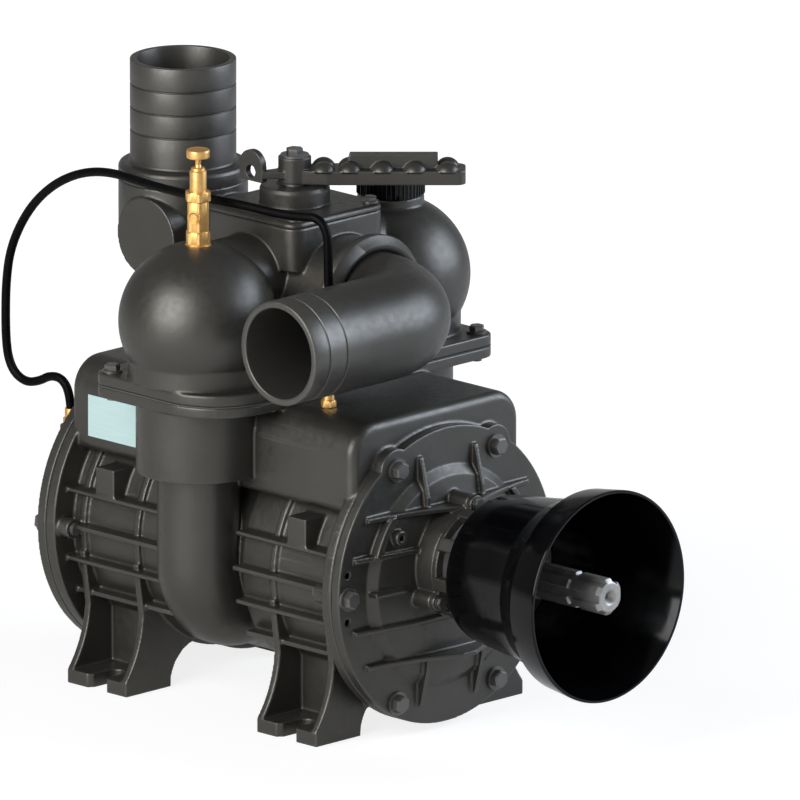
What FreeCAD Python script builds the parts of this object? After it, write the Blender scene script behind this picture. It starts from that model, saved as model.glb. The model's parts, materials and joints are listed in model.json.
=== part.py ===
import FreeCAD, Part
import math
import os

import Sketcher

# Rotary vane vacuum pump with four-way valve, driven by a tractor shaft.
# X runs across the pump, the drive shaft points to -Y, Z is up.
# The origin is midway between the four foot slots, on the plane that the feet stand on.

doc = FreeCAD.newDocument("VacuumPump")

# Driving sizes in millimetres and degrees: name, number, what it is.
SIZES = [
    ("shaft_rise", 18.1, "rotor and drive shaft axis above the bore axis"),
    ("casing_height", 148.2, "casing bore axis above the feet"),
    ("bore_radius", 97.0, "casing bore"),
    ("rotor_gap", 0.3, "clearance between rotor and bore at the top"),
    ("end_gap", 0.3, "clearance between rotor and each cover"),
    ("waist_wall", 12.0, "wall of the barrel between the two ribbed sections"),
    ("barrel_wall", 20.0, "wall of the barrel at the ribbed sections"),
    ("section_start", 47.0, "inner end of a ribbed section from the middle"),
    ("flange_width", 45.0, "end flanges and covers outside the bore"),
    ("flange_face", 189.5, "end face of the casing from the middle"),
    ("flange_thick", 12.0, "end flange"),
    ("gasket_thick", 0.5, "cover gaskets"),
    ("cover_thick", 10.5, "cover plates"),
    ("bolt_circle_reach", 33.0, "cover bolts outside the bore"),
    ("lobe_radius", 20.0, "flange lobes round the two top bolts"),
    ("boss_radius", 9.5, "bolt bosses behind the flanges"),
    ("boss_length", 14.0, "bolt bosses behind the flanges"),
    ("cover_bolt_radius", 6.0, "cover bolt shank"),
    ("cover_bolt_grip", 30.0, "cover bolt shank in the casing"),
    ("hole_gap", 0.3, "clearance round a bolt in its hole"),
    ("upper_box_half_width", 110.5, "upper box of the casing"),
    ("upper_box_inset", 1.5, "upper box inside the end face"),
    ("upper_box_drop", 72.8, "underside of the upper box above the bore axis"),
    ("upper_box_rise", 158.8, "top of the upper box above the bore axis"),
    ("upper_box_round", 31.0, "long top edges of the upper box"),
    ("upper_box_end_round", 9.0, "end edges of the upper box"),
    ("port_offset", 127.0, "port columns and domes from the middle"),
    ("port_tube_radius", 39.0, "lower port column"),
    ("port_bend_radius", 50.0, "bend at the foot of a port column"),
    ("port_bend_drop", 1.2, "where the port column starts to bend, below the bore axis"),
    ("port_head_radius", 58.7, "upper port column"),
    ("port_head_length", 78.0, "length of the upper port column"),
    ("port_duct_radius", 27.0, "duct inside a port column"),
    ("rib_thick", 4.5, "casing side ribs"),
    ("rib_rise", 13.0, "circle on which the ribs end, above the barrel"),
    ("rib_circle_rise", 1.8, "centre of that circle above the bore axis"),
    ("rib_pitch", 33.0, "spacing of the side ribs"),
    ("rib_drop", 64.2, "lowest side rib below the bore axis"),
    ("hoop_rise", 3.5, "hoop ribs over the feet"),
    ("foot_half_width", 137.0, "outer edge of the feet"),
    ("foot_inner", 78.0, "inner edge of the feet"),
    ("foot_near_reach", 39.0, "foot from its slot towards the middle"),
    ("foot_far_reach", 39.75, "foot from its slot towards the end"),
    ("foot_thick", 13.5, "foot slab"),
    ("gusset_thick", 7.5, "gusset plates of the feet"),
    ("slot_centre", 126.0, "foot slot from the middle, along the shaft"),
    ("slot_depth", 25.0, "centre of the round end of a slot, from the outer edge"),
    ("slot_radius", 9.0, "foot slot"),
    ("slot_mouth", 13.2, "half width of the slot at the outer edge"),
    ("slot_mouth_depth", 5.0, "flare of the slot at the outer edge"),
    ("gusset_waist_inset", 23.0, "narrowest place of a gusset inside the foot's outer edge"),
    ("gusset_waist_rise", 61.0, "narrowest place of a gusset above the slab"),
    ("gusset_curve", 110.0, "hollow outer edge of the gussets"),
    ("gusset_top_inset", 15.5, "top of a gusset inside the foot's outer edge"),
    ("gusset_rise", 112.0, "top of a gusset above the slab"),
    ("gusset_root_inset", 57.0, "inner end of a gusset's top inside the foot's outer edge"),
    ("gusset_arch_half", 43.0, "inner end of a gusset under the barrel, from the middle"),
    ("gusset_arch_low", 39.0, "lower end of that edge above the feet"),
    ("gusset_arch_high", 60.0, "upper end of that edge above the feet"),
    ("gusset_arch", 38.0, "arch between the feet"),
    ("foot_wall_height", 80.0, "inner wall of the feet"),
    ("side_pad_inset", 11.0, "square pad from the foot slot"),
    ("side_pad_size", 25.0, "square pad on the barrel side"),
    ("side_pad_height", 38.8, "square pad above the bore axis"),
    ("side_pad_rise", 8.0, "face of the square pad above the barrel"),
    ("plate_near", 99.5, "name plate, end nearest the middle"),
    ("plate_length", 63.5, "name plate"),
    ("plate_rise", 14.5, "name plate above the underside of the upper box"),
    ("plate_height", 40.0, "name plate"),
    ("plate_thick", 1.0, "name plate"),
    ("top_face_rise", 7.0, "top face of the casing above the upper box"),
    ("top_flange_thick", 10.0, "casing top flange"),
    ("top_flange_end", 60.0, "top flange beyond the port columns"),
    ("top_half_width", 83.5, "top flange along the shaft"),
    ("top_corner_small", 18.0, "corners of the top flange"),
    ("top_corner_large", 62.0, "corner of the top flange under the exhaust mouth"),
    ("top_gasket_thick", 1.0, "gasket of the manifold"),
    ("top_bolt_reach", 45.0, "outer manifold bolts beyond the port columns"),
    ("top_bolt_inset", 14.5, "manifold bolts inside the long edges of the flange"),
    ("top_bolt_near_x", 95.0, "manifold bolt under the exhaust mouth"),
    ("top_bolt_radius", 5.0, "manifold bolt shank"),
    ("top_bolt_grip", 16.0, "manifold bolt shank in the casing"),
    ("manifold_flange_thick", 11.0, "flange of the manifold"),
    ("dome_radius", 75.0, "domes of the manifold"),
    ("dome_rise", 54.0, "centre of the domes above the flange"),
    ("dome_wall", 8.0, "wall of the domes"),
    ("dome_foot_radius", 66.0, "ring under a dome"),
    ("neck_radius", 48.0, "neck between valve block and rear housing"),
    ("side_neck_radius", 43.0, "necks between domes and valve block"),
    ("side_duct_radius", 34.0, "passage in those necks"),
    ("front_neck_radius", 58.0, "neck between valve block and exhaust elbow"),
    ("neck_rise", 66.0, "axis of the pipe necks above the flange"),
    ("side_neck_rise", 16.0, "axis of the necks to the domes above the pipe axis"),
    ("neck_duct_radius", 38.0, "passage in the front neck"),
    ("valve_barrel_radius", 58.0, "round part of the valve block"),
    ("valve_barrel_drop", 54.0, "underside of the valve barrel below the pipe axis"),
    ("block_half", 61.0, "square head of the valve block"),
    ("block_round", 14.0, "upright edges of the square head"),
    ("head_rise", 31.0, "underside of the square head above the pipe axis"),
    ("head_cover_rise", 57.0, "face under the valve cover above the side necks"),
    ("valve_bore_radius", 44.5, "bore of the four-way valve"),
    ("valve_floor_drop", 44.0, "floor of the valve bore below the pipe axis"),
    ("running_gap", 0.05, "radial clearance of turning fits"),
    ("plug_web", 22.0, "web of the valve plug"),
    ("plug_disc", 10.0, "end discs of the valve plug"),
    ("plug_room_neck", 13.0, "side rooms of the valve plug beside the web"),
    ("plug_room_half", 34.0, "side rooms of the valve plug at the rim"),
    ("plug_room_rim", 26.0, "where the side rooms reach that width"),
    ("plug_bolt_depth", 22.0, "threaded hole in the stem"),
    ("stem_radius", 12.0, "stem of the valve plug"),
    ("stem_square", 17.0, "square of the stem under the handle"),
    ("valve_cover_thick", 6.0, "valve cover plate"),
    ("valve_cover_edge", 4.0, "rounded upper edge of the valve cover"),
    ("valve_boss_radius", 33.0, "ring boss of the valve cover"),
    ("valve_boss_rise", 18.0, "ring boss above the valve cover"),
    ("valve_boss_bevel", 3.5, "bevel round the top of the ring boss"),
    ("stem_seal_width", 5.0, "stem seal"),
    ("stem_seal_depth", 6.0, "seat of the stem seal"),
    ("stem_seal_sink", 0.5, "stem seal below the face of the ring boss"),
    ("valve_bolt_offset", 50.0, "valve cover bolts"),
    ("valve_bolt_radius", 4.0, "valve cover bolt shank"),
    ("valve_bolt_grip", 14.0, "valve cover bolt shank in the valve block"),
    ("handle_gap", 2.0, "handle above the ring boss"),
    ("handle_thick", 13.5, "handle lever"),
    ("handle_length", 160.0, "handle from the stem to its end"),
    ("handle_half_width", 17.0, "handle lever"),
    ("handle_shoulder", 30.0, "where the lever reaches its full width, from the stem"),
    ("handle_end_round", 8.0, "rounded end of the lever"),
    ("handle_hub_radius", 15.5, "hub of the handle"),
    ("handle_hub_rise", 11.0, "hub above the handle lever"),
    ("tail_rise", 5.0, "flat tail of the handle above the underside of the lever"),
    ("tail_thick", 7.0, "flat tail of the handle"),
    ("tail_half_width", 12.0, "flat tail of the handle"),
    ("tail_gap", 1.5, "tail beside the lug hole"),
    ("handle_web_start", 51.5, "upright web on the handle"),
    ("handle_web_end", 134.0, "upright web on the handle"),
    ("handle_web_rise", 13.5, "upright web above the handle lever"),
    ("handle_web_slope", 4.0, "slope at the inner end of that web"),
    ("handle_web_thick", 13.0, "upright web on the handle"),
    ("handle_bump_radius", 11.0, "round bumps along the handle"),
    ("handle_bump_rise", 7.5, "round bumps along the handle"),
    ("handle_bump_pitch", 30.5, "round bumps along the handle"),
    ("handle_bump_outer", 143.0, "outermost bump from the stem"),
    ("handle_bump_inner", 27.0, "innermost bump from the stem"),
    ("handle_bump_spread", 9.0, "rows of bumps from the middle of the handle"),
    ("handle_rest_angle", -45.0, "handle direction in the middle position"),
    ("lug_offset", 39.0, "lug hole from the stem"),
    ("lug_radius", 15.0, "head of the lug"),
    ("lug_rise", 16.0, "centre of the lug head above the underside of the handle"),
    ("lug_thick", 6.6, "lug"),
    ("lug_hole_radius", 6.0, "hole in the lug"),
    ("lug_hole_drop", 6.0, "hole below the centre of the lug head"),
    ("handle_bolt_radius", 4.5, "handle bolt shank"),
    ("handle_bolt_grip", 20.0, "handle bolt shank below the washer"),
    ("handle_washer_thick", 2.0, "washer of the handle bolt"),
    ("collar_radius", 65.0, "round flange between neck and exhaust elbow"),
    ("collar_face", 99.0, "face of that flange from the middle"),
    ("collar_thick", 5.0, "each half of that flange"),
    ("exhaust_radius", 49.5, "exhaust elbow, hose spigot"),
    ("exhaust_wall", 6.5, "exhaust elbow"),
    ("spigot_thick", 4.0, "spigot of the elbow"),
    ("exhaust_bend", 65.7, "bend of the exhaust elbow"),
    ("elbow_neck", 5.3, "straight neck of the exhaust elbow"),
    ("elbow_reach", 129.9, "straight mouth of the exhaust elbow"),
    ("spigot_length", 8.0, "spigot of the elbow in the neck"),
    ("rear_offset", 148.4, "rear housing from the middle"),
    ("rear_radius", 61.0, "rear housing"),
    ("rear_round_rise", 31.0, "where the rear housing turns into its round bottom, above the pipe axis"),
    ("rear_wall", 8.0, "wall of the rear housing"),
    ("rear_length", 47.0, "straight part of the rear housing"),
    ("rear_disc_radius", 38.0, "round boss on the rear housing"),
    ("rear_disc_face", 62.5, "face of the round boss from the middle"),
    ("rear_disc_offset", 135.5, "axis of the round boss from the middle"),
    ("rear_neck_rise", 22.0, "axis of the neck to the rear housing above the pipe axis"),
    ("rear_duct_radius", 30.0, "passage in that neck"),
    ("connector_flange", 15.0, "flange of the hose connector"),
    ("hose_radius", 50.0, "hose tail, outside"),
    ("hose_wall", 6.3, "hose tail"),
    ("hose_tail_length", 99.0, "hose tail above its flange"),
    ("barb_pitch", 22.3, "steps on the hose tail"),
    ("barb_depth", 1.0, "steps on the hose tail"),
    ("ball_radius", 33.0, "check ball"),
    ("ball_lift", 20.0, "travel of the check ball"),
    ("ball_gap", 0.3, "clearance under the ball at rest and over it when lifted"),
    ("cage_radius", 40.0, "cage of the check ball, outside"),
    ("cage_wall", 4.5, "posts of the cage"),
    ("cage_post_width", 9.0, "posts of the cage"),
    ("cage_post_count", 4, "posts of the cage"),
    ("cage_plate_thick", 3.0, "plate over the cage"),
    ("cage_plate_bore", 20.0, "hole of that plate, radius"),
    ("seat_thick", 8.0, "ring under the check ball"),
    ("seat_bore_radius", 25.0, "hole of that ring, radius"),
    ("filler_radius", 32.4, "oil filler cap"),
    ("filler_neck_rise", 2.0, "top of the filler neck above the dome"),
    ("filler_neck_radius", 31.5, "filler neck"),
    ("filler_height", 22.0, "oil filler cap above its neck"),
    ("filler_bore_radius", 22.0, "filler neck bore"),
    ("filler_plug_length", 9.0, "plug of the cap in the neck"),
    ("filler_plug_gap", 0.3, "clearance of that plug"),
    ("filler_bevel", 3.5, "bevel round the top of the cap"),
    ("knurl_radius", 1.6, "grooves round the filler cap"),
    ("knurl_offset", 0.6, "centre of those grooves outside the cap"),
    ("knurl_count", 36, "grooves round the filler cap"),
    ("lubricator_sink", 3.0, "underside of the lubricator below the top of the dome"),
    ("lubricator_washer_radius", 12.5, "pad under the lubricator"),
    ("lubricator_hex", 21.0, "base hexagon across flats"),
    ("lubricator_radius", 10.5, "body of the lubricator"),
    ("lubricator_upper_radius", 8.0, "upper body of the lubricator"),
    ("lubricator_collar_hex", 22.5, "upper hexagon across flats"),
    ("lubricator_stem_radius", 3.3, "stem under the knob"),
    ("lubricator_length", 78.0, "body of the lubricator"),
    ("knob_rise", 6.0, "knob above the body of the lubricator"),
    ("knob_thick", 11.0, "knob of the lubricator"),
    ("knob_radius", 11.7, "knob of the lubricator"),
    ("sight_radius", 5.6, "sight window of the lubricator"),
    ("sight_rise", 26.0, "sight window above the base of the lubricator"),
    ("fitting_x", -70.0, "oil fitting on the casing"),
    ("fitting_y", -115.0, "oil fitting on the casing"),
    ("fitting_hex", 13.0, "oil fittings across flats"),
    ("fitting_hex_height", 7.0, "oil fittings"),
    ("fitting_length", 16.0, "oil fittings above their seats"),
    ("fitting_thread_radius", 4.5, "thread of the oil fittings"),
    ("fitting_thread_length", 9.0, "thread of the oil fittings"),
    ("fitting_tail_radius", 5.5, "hose tail of the oil fittings"),
    ("hose_tube_radius", 4.25, "oil hose"),
    ("feed_x", -52.0, "oil feed boss at the rear"),
    ("feed_inset", 12.0, "oil feed boss from the hub"),
    ("feed_top", 220.0, "oil feed boss at the rear"),
    ("feed_radius", 10.0, "oil feed boss at the rear"),
    ("cone_reach", 9.0, "raised middle of the covers outside the bore"),
    ("cone_rise", 7.0, "raised middle of the covers"),
    ("cone_lip", 9.0, "sloping rim of the raised middle"),
    ("cone_shoulder", 5.0, "rise of the raised middle from its rim to the hub"),
    ("cone_top_radius", 60.0, "raised middle of the covers, where it meets the hub"),
    ("hub_wall", 10.5, "wall of the bearing hub"),
    ("hub_lip", 9.0, "hub beyond its bearing"),
    ("fin_thick", 4.5, "fins of the covers"),
    ("fin_spread", 71.0, "outer level fins above and below the casing axis"),
    ("fin_middle_spread", 35.0, "inner level fins above and below the casing axis"),
    ("fin_tip", 106.0, "tip of the outer level fins"),
    ("fin_middle_tip", 123.0, "tip of the inner level fins"),
    ("fin_axis_tip", 104.0, "tip of the fins level with the casing axis"),
    ("fin_tip_rise", 4.0, "fin height at its tip"),
    ("fin_axis_rise", 12.0, "height of the fins level with the casing axis"),
    ("fin_hub_drop", 3.0, "outer level fins below the face of the hub"),
    ("fin_hollow", 260.0, "hollow ridge of the outer level fins"),
    ("fin_middle_rise", 15.0, "height of the inner level fins at the hub"),
    ("upright_spread", 36.0, "upright fins from the middle"),
    ("upright_reach", 120.0, "tips of the upright fins from the casing axis"),
    ("upright_rise", 13.5, "height of the upright fins"),
    ("upright_shoulder", 83.0, "where the upright fins reach that height, from the casing axis"),
    ("arc_rib_radius", 108.0, "curved ribs between the level fins, outside"),
    ("arc_rib_thick", 5.0, "curved ribs between the level fins"),
    ("arc_rib_rise", 11.0, "curved ribs above the cover plate"),
    ("blind_boss_x", 73.0, "small boss of the front cover from the middle"),
    ("blind_boss_rise", 50.8, "small boss of the front cover above the casing axis"),
    ("blind_boss_radius", 7.0, "small boss of the front cover"),
    ("blind_boss_height", 15.0, "small boss of the front cover above the plate"),
    ("blind_hole_radius", 3.0, "hole of the small boss"),
    ("blind_hole_depth", 8.0, "hole of the small boss"),
    ("jack_hole_radius", 3.2, "threaded holes that push the cover off"),
    ("jack_hole_spread", 22.5, "those holes above and below the casing axis"),
    ("bearing_bore_radius", 22.5, "shaft bearings, inside"),
    ("bearing_radius", 42.5, "shaft bearings, outside"),
    ("bearing_width", 19.0, "shaft bearings"),
    ("bearing_inset", 6.5, "inner face of a bearing from the face of its cover"),
    ("race_thick", 5.5, "bearing rings"),
    ("roller_count", 14, "rollers in a bearing"),
    ("seal_width", 7.0, "shaft seals"),
    ("seal_outer_radius", 33.0, "shaft seals"),
    ("rotor_seat_radius", 25.0, "shaft in the rotor"),
    ("vane_count", 6, "vanes"),
    ("vane_thick", 8.0, "vanes"),
    ("vane_depth", 46.0, "vanes, along the slot"),
    ("vane_offset", 12.0, "vane slots beside the rotor centre"),
    ("vane_gap", 0.05, "clearance of a vane in its slot"),
    ("vane_sink", 1.0, "vane tip below the rotor surface"),
    ("key_width", 12.0, "rotor key"),
    ("key_height", 8.0, "rotor key"),
    ("key_length", 110.0, "rotor key"),
    ("cap_thick", 6.0, "bearing cap"),
    ("cap_overlap", 2.5, "bearing cap over the bearing"),
    ("cap_bore_radius", 24.0, "bearing cap, round the shaft"),
    ("cap_screw_reach", 4.5, "circle of the bearing cap screws outside the hub"),
    ("ear_radius", 8.0, "ears of the bearing cap"),
    ("guard_ring_radius", 50.8, "ring that carries the guard"),
    ("guard_distance", 27.0, "rear face of the guard from the hub"),
    ("guard_wall", 3.5, "guard"),
    ("guard_rear_radius", 75.0, "guard at its rear"),
    ("guard_waist_flare", 7.5, "guard where it starts to widen, over its rear radius"),
    ("guard_waist_length", 88.0, "guard from its rear to where it widens"),
    ("guard_flare", 5.5, "guard before its mouth band, over that"),
    ("guard_flare_length", 20.0, "guard where it widens"),
    ("guard_band_rise", 8.5, "guard mouth band over the guard"),
    ("guard_step_length", 10.0, "step behind the mouth band"),
    ("guard_mouth_flare", 4.5, "guard mouth over its band"),
    ("guard_band_length", 33.5, "mouth band of the guard"),
    ("spline_radius", 17.45, "drive shaft over its splines"),
    ("spline_root_radius", 14.6, "drive shaft between its splines"),
    ("spline_width", 8.7, "one spline"),
    ("spline_inset", 64.0, "start of the splines in the guard"),
    ("spline_length", 90.0, "splines"),
    ("shaft_neck_radius", 20.0, "drive shaft in front of the bearing"),
    ("lock_groove", 38.0, "locking groove from the shaft end"),
    ("gear_shaft_radius", 8.0, "rear end of the shaft, which drives the oil pump"),
    ("oil_body_length", 24.0, "oil pump body"),
    ("oil_cover_thick", 7.0, "oil pump cover"),
    ("gear_module", 2.0, "oil pump gears"),
    ("gear_teeth", 14, "teeth of each oil pump gear"),
    ("gear_width", 12.0, "oil pump gears"),
    ("gear_backlash", 0.25, "oil pump gears, each flank"),
    ("idler_pin_radius", 5.0, "oil pump idler pin"),
    ("oil_screw_radius", 3.0, "oil pump screws"),
    ("oil_screw_reach", 5.3, "oil pump screws outside the bearing"),
    ("oil_screw_grip", 10.0, "oil pump screws in the hub"),
    ("gear_room_gap", 0.3, "clearance round the oil pump gears"),
    ("gear_face_gap", 0.2, "oil pump gears below the cover"),
    ("idler_pin_depth", 8.0, "idler pin in the body"),
    ("cap_screw_shank", 3.0, "bearing cap screws"),
    ("cap_screw_grip", 16.0, "bearing cap screws in the hub"),
    ("guard_screw_radius", 2.0, "guard screws"),
    ("guard_screw_grip", 9.0, "guard screws in their ring"),
    ("guard_screw_count", 4, "guard screws"),
    ("window_count", 8, "windows of the guard ring"),
    ("window_half", 9.0, "windows of the guard ring"),
    ("window_rim", 2.5, "guard ring in front of its windows"),
    ("window_start", 2.0, "windows in front of the ears"),
    ("seal_groove", 1.5, "groove of the elbow seal behind the spigot"),
    ("cage_gap", 0.3, "clearance round the cage in the manifold"),
]


class Size:
    """A size that knows its number and the sheet formula that gives it."""

    def __init__(self, number, formula):
        self.number = float(number)
        self.formula = formula

    def __float__(self):
        return self.number

    def __add__(self, other):
        other = sized(other)
        return Size(self.number + other.number, f"({self.formula} + {other.formula})")

    def __radd__(self, other):
        return sized(other) + self

    def __sub__(self, other):
        other = sized(other)
        return Size(self.number - other.number, f"({self.formula} - {other.formula})")

    def __rsub__(self, other):
        return sized(other) - self

    def __mul__(self, other):
        other = sized(other)
        return Size(self.number * other.number, f"({self.formula} * {other.formula})")

    def __rmul__(self, other):
        return sized(other) * self

    def __truediv__(self, other):
        other = sized(other)
        return Size(self.number / other.number, f"({self.formula} / {other.formula})")

    def __neg__(self):
        return Size(-self.number, f"(-1 * {self.formula})")


def sized(value):
    """The value as a Size; a plain number keeps its own text."""
    if isinstance(value, Size):
        return value
    return Size(value, repr(round(float(value), 6)))


def root(value):
    """Square root of a Size."""
    return Size(math.sqrt(value.number), f"sqrt({value.formula})")


def make_sheet():
    """Writes the sizes into the document's sheet and hands them back by name."""
    sheet = doc.addObject("Spreadsheet::Sheet", "dims")
    names = {}
    for row, (alias, number, meaning) in enumerate(SIZES, start=1):
        sheet.set(f"A{row}", str(number))
        sheet.setAlias(f"A{row}", alias)
        sheet.set(f"B{row}", meaning)
        names[alias] = Size(number, f"dims.{alias}")
    doc.recompute()
    return names


class Names:
    """The sheet's sizes as attributes."""

    def __init__(self, names):
        self.__dict__.update(names)


d = Names(make_sheet())
X = FreeCAD.Vector(1, 0, 0)
Y = FreeCAD.Vector(0, 1, 0)
Z = FreeCAD.Vector(0, 0, 1)
ZERO = (0, 0, 0)

nodes = []

# Places that follow from the driving sizes
d.waist_radius = d.bore_radius + d.waist_wall
d.barrel_radius = d.bore_radius + d.barrel_wall
d.flange_radius = d.bore_radius + d.flange_width
d.bolt_circle_radius = d.bore_radius + d.bolt_circle_reach
d.hoop_radius = d.barrel_radius + d.hoop_rise
d.rib_circle_radius = d.barrel_radius + d.rib_rise
d.side_pad_reach = d.barrel_radius + d.side_pad_rise
d.cone_radius = d.bore_radius + d.cone_reach
d.shaft_height = d.casing_height + d.shaft_rise
d.rib_circle_height = d.casing_height + d.rib_circle_rise
d.rib_lowest = d.casing_height - d.rib_drop
d.side_pad_bottom = d.casing_height + d.side_pad_height
d.upper_box_bottom = d.casing_height + d.upper_box_drop
d.upper_box_top = d.casing_height + d.upper_box_rise
d.port_bend_height = d.casing_height - d.port_bend_drop
d.top_face = d.upper_box_top + d.top_face_rise
d.port_head_bottom = d.top_face - d.port_head_length
d.plate_bottom = d.upper_box_bottom + d.plate_rise
d.upper_box_half_length = d.flange_face - d.upper_box_inset
d.foot_near = d.slot_centre - d.foot_near_reach
d.foot_far = d.slot_centre + d.foot_far_reach
d.slot_inner = d.foot_half_width - d.slot_depth
d.side_pad_near = d.slot_centre - d.side_pad_inset
cover_face = d.flange_face + d.gasket_thick + d.cover_thick
d.bearing_start = cover_face + d.bearing_inset
d.hub_face = d.bearing_start + d.bearing_width + d.hub_lip
d.guard_start = d.hub_face + d.guard_distance
d.guard_waist = d.guard_start + d.guard_waist_length
d.guard_step = d.guard_waist + d.guard_flare_length
d.guard_band = d.guard_step + d.guard_step_length
d.guard_mouth = d.guard_band + d.guard_band_length
d.spline_start = d.guard_start + d.spline_inset
d.shaft_end = d.spline_start + d.spline_length
d.oil_body_face = d.hub_face + d.oil_body_length
d.feed_y = d.hub_face + d.feed_inset
d.guard_waist_radius = d.guard_rear_radius + d.guard_waist_flare
d.guard_step_radius = d.guard_waist_radius + d.guard_flare
d.guard_band_radius = d.guard_step_radius + d.guard_band_rise
d.guard_mouth_radius = d.guard_band_radius + d.guard_mouth_flare
d.hub_radius = d.bearing_radius + d.hub_wall
d.cap_radius = d.bearing_radius + d.cap_overlap
d.cap_screw_radius = d.hub_radius + d.cap_screw_reach
d.oil_screw_circle = d.bearing_radius + d.oil_screw_reach
d.top_half_length = d.port_offset + d.top_flange_end
d.top_bolt_x = d.port_offset + d.top_bolt_reach
d.top_bolt_y = d.top_half_width - d.top_bolt_inset
manifold_face = d.top_face + d.top_gasket_thick
manifold_top = manifold_face + d.manifold_flange_thick
d.neck_height = manifold_top + d.neck_rise
d.dome_height = manifold_top + d.dome_rise
d.side_neck_height = d.neck_height + d.side_neck_rise
d.valve_barrel_bottom = d.neck_height - d.valve_barrel_drop
d.valve_floor = d.neck_height - d.valve_floor_drop
d.block_bottom = d.neck_height + d.head_rise
d.block_top = d.side_neck_height + d.head_cover_rise
d.valve_boss_top = d.block_top + d.valve_cover_thick + d.valve_boss_rise
d.handle_bottom = d.valve_boss_top + d.handle_gap
d.handle_hub_top = d.handle_bottom + d.handle_thick + d.handle_hub_rise
d.handle_web_top = d.handle_bottom + d.handle_thick + d.handle_web_rise
d.lug_height = d.handle_bottom + d.lug_rise
d.rear_round_height = d.neck_height + d.rear_round_rise
d.rear_neck_height = d.neck_height + d.rear_neck_rise
d.rear_top = d.rear_round_height + d.rear_length
d.hose_rim = d.rear_top + d.connector_flange + d.hose_tail_length
d.exhaust_axis = d.collar_face + d.collar_thick + d.exhaust_bend + d.elbow_neck
d.exhaust_mouth = d.exhaust_bend + d.elbow_reach
d.filler_neck_top = d.dome_height + d.dome_radius + d.filler_neck_rise
d.filler_top = d.filler_neck_top + d.filler_height
d.lubricator_base = d.dome_height + d.dome_radius - d.lubricator_sink
d.lubricator_stem_base = d.lubricator_base + d.lubricator_length
d.knob_bottom = d.lubricator_stem_base + d.knob_rise
d.knob_top = d.knob_bottom + d.knob_thick
d.sight_height = d.lubricator_base + d.sight_rise
d.rear_disc_height = d.rear_round_height
chamber_end = d.flange_face + d.gasket_thick
eccentricity = d.shaft_rise
rotor_radius = d.bore_radius - eccentricity - d.rotor_gap
rotor_half = chamber_end - d.end_gap
guard_ring_front = d.guard_start
ball_rise = root(d.ball_radius * d.ball_radius - d.seat_bore_radius * d.seat_bore_radius) + d.ball_gap
ball_height = manifold_face + d.seat_thick + ball_rise
cage_post_length = ball_rise + d.ball_lift + d.ball_radius + d.ball_gap


def tie(obj, path, value):
    """Binds one property of an object to the sheet."""
    obj.setExpression(path, sized(value).formula)


def place(obj, at, rotation=None):
    """Puts an object at a point whose coordinates follow the sheet."""
    if rotation is not None:
        obj.Placement = FreeCAD.Placement(FreeCAD.Vector(), rotation)
    for axis, value in zip("xyz", at):
        tie(obj, f"Placement.Base.{axis}", value)


def turn_to(along):
    """Rotation that takes the upright axis to the given direction."""
    return FreeCAD.Rotation(Z, along)


def keep(obj, node):
    """Marks an object as one node of the finished part."""
    obj.Label = node
    nodes.append((node, obj))
    return obj


# Part shapes

def cylinder(name, radius, length, at=ZERO, along=Z):
    obj = doc.addObject("Part::Cylinder", name)
    tie(obj, "Radius", radius)
    tie(obj, "Height", length)
    place(obj, at, turn_to(along))
    return obj


def block(name, size, at):
    """Box with its lowest corner at a point."""
    obj = doc.addObject("Part::Box", name)
    for side, value in zip(("Length", "Width", "Height"), size):
        tie(obj, side, value)
    place(obj, at)
    return obj


def ball(name, radius, at):
    obj = doc.addObject("Part::Sphere", name)
    tie(obj, "Radius", radius)
    place(obj, at)
    return obj


def quarter_bend(name, bend_radius, tube_radius, at, start, turn):
    """Quarter of a ring about a point, from the start direction to the turn direction."""
    obj = doc.addObject("Part::Torus", name)
    tie(obj, "Radius1", bend_radius)
    tie(obj, "Radius2", tube_radius)
    obj.Angle3 = 90
    place(obj, at, FreeCAD.Rotation(start, turn, start.cross(turn), "ZXY"))
    return obj


def fuse(name, pieces):
    obj = doc.addObject("Part::MultiFuse", name)
    obj.Shapes = pieces
    obj.Refine = True
    return obj


def cut(name, base, tools):
    tool = tools[0] if len(tools) == 1 else fuse(f"{name}_cuts", tools)
    obj = doc.addObject("Part::Cut", name)
    obj.Base = base
    obj.Tool = tool
    return obj


def feature(name, shape, at=ZERO):
    """Piece whose shape is worked out in code; its place follows the sheet."""
    obj = doc.addObject("Part::Feature", name)
    obj.Shape = shape
    place(obj, at)
    return obj


# Bodies made from sketches

def body_at(name, at=ZERO, rotation=None):
    obj = doc.addObject("PartDesign::Body", name)
    place(obj, at, rotation)
    return obj


def sketch_on(body, role, offset=0):
    """Empty sketch on one of the body's planes, moved along the plane's normal."""
    plane = [item for item in body.Origin.OriginFeatures if item.Role == role][0]
    sketch = body.newObject("Sketcher::SketchObject", f"{body.Name}_sketch")
    sketch.AttachmentSupport = [(plane, "")]
    sketch.MapMode = "FlatFace"
    tie(sketch, "AttachmentOffset.Base.z", offset)
    return sketch


def fix_point(sketch, edge, end, x, y):
    """Ties one end of a sketch edge to the sheet."""
    for kind, value in (("DistanceX", sized(x)), ("DistanceY", sized(y))):
        number = sketch.addConstraint(Sketcher.Constraint(kind, -1, 1, edge, end, value.number))
        label = f"{kind}{number}"
        sketch.renameConstraint(number, label)
        sketch.setExpression(f"Constraints.{label}", value.formula)


def fix_radius(sketch, edge, radius):
    radius = sized(radius)
    number = sketch.addConstraint(Sketcher.Constraint("Radius", edge, radius.number))
    label = f"Radius{number}"
    sketch.renameConstraint(number, label)
    sketch.setExpression(f"Constraints.{label}", radius.formula)


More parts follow.
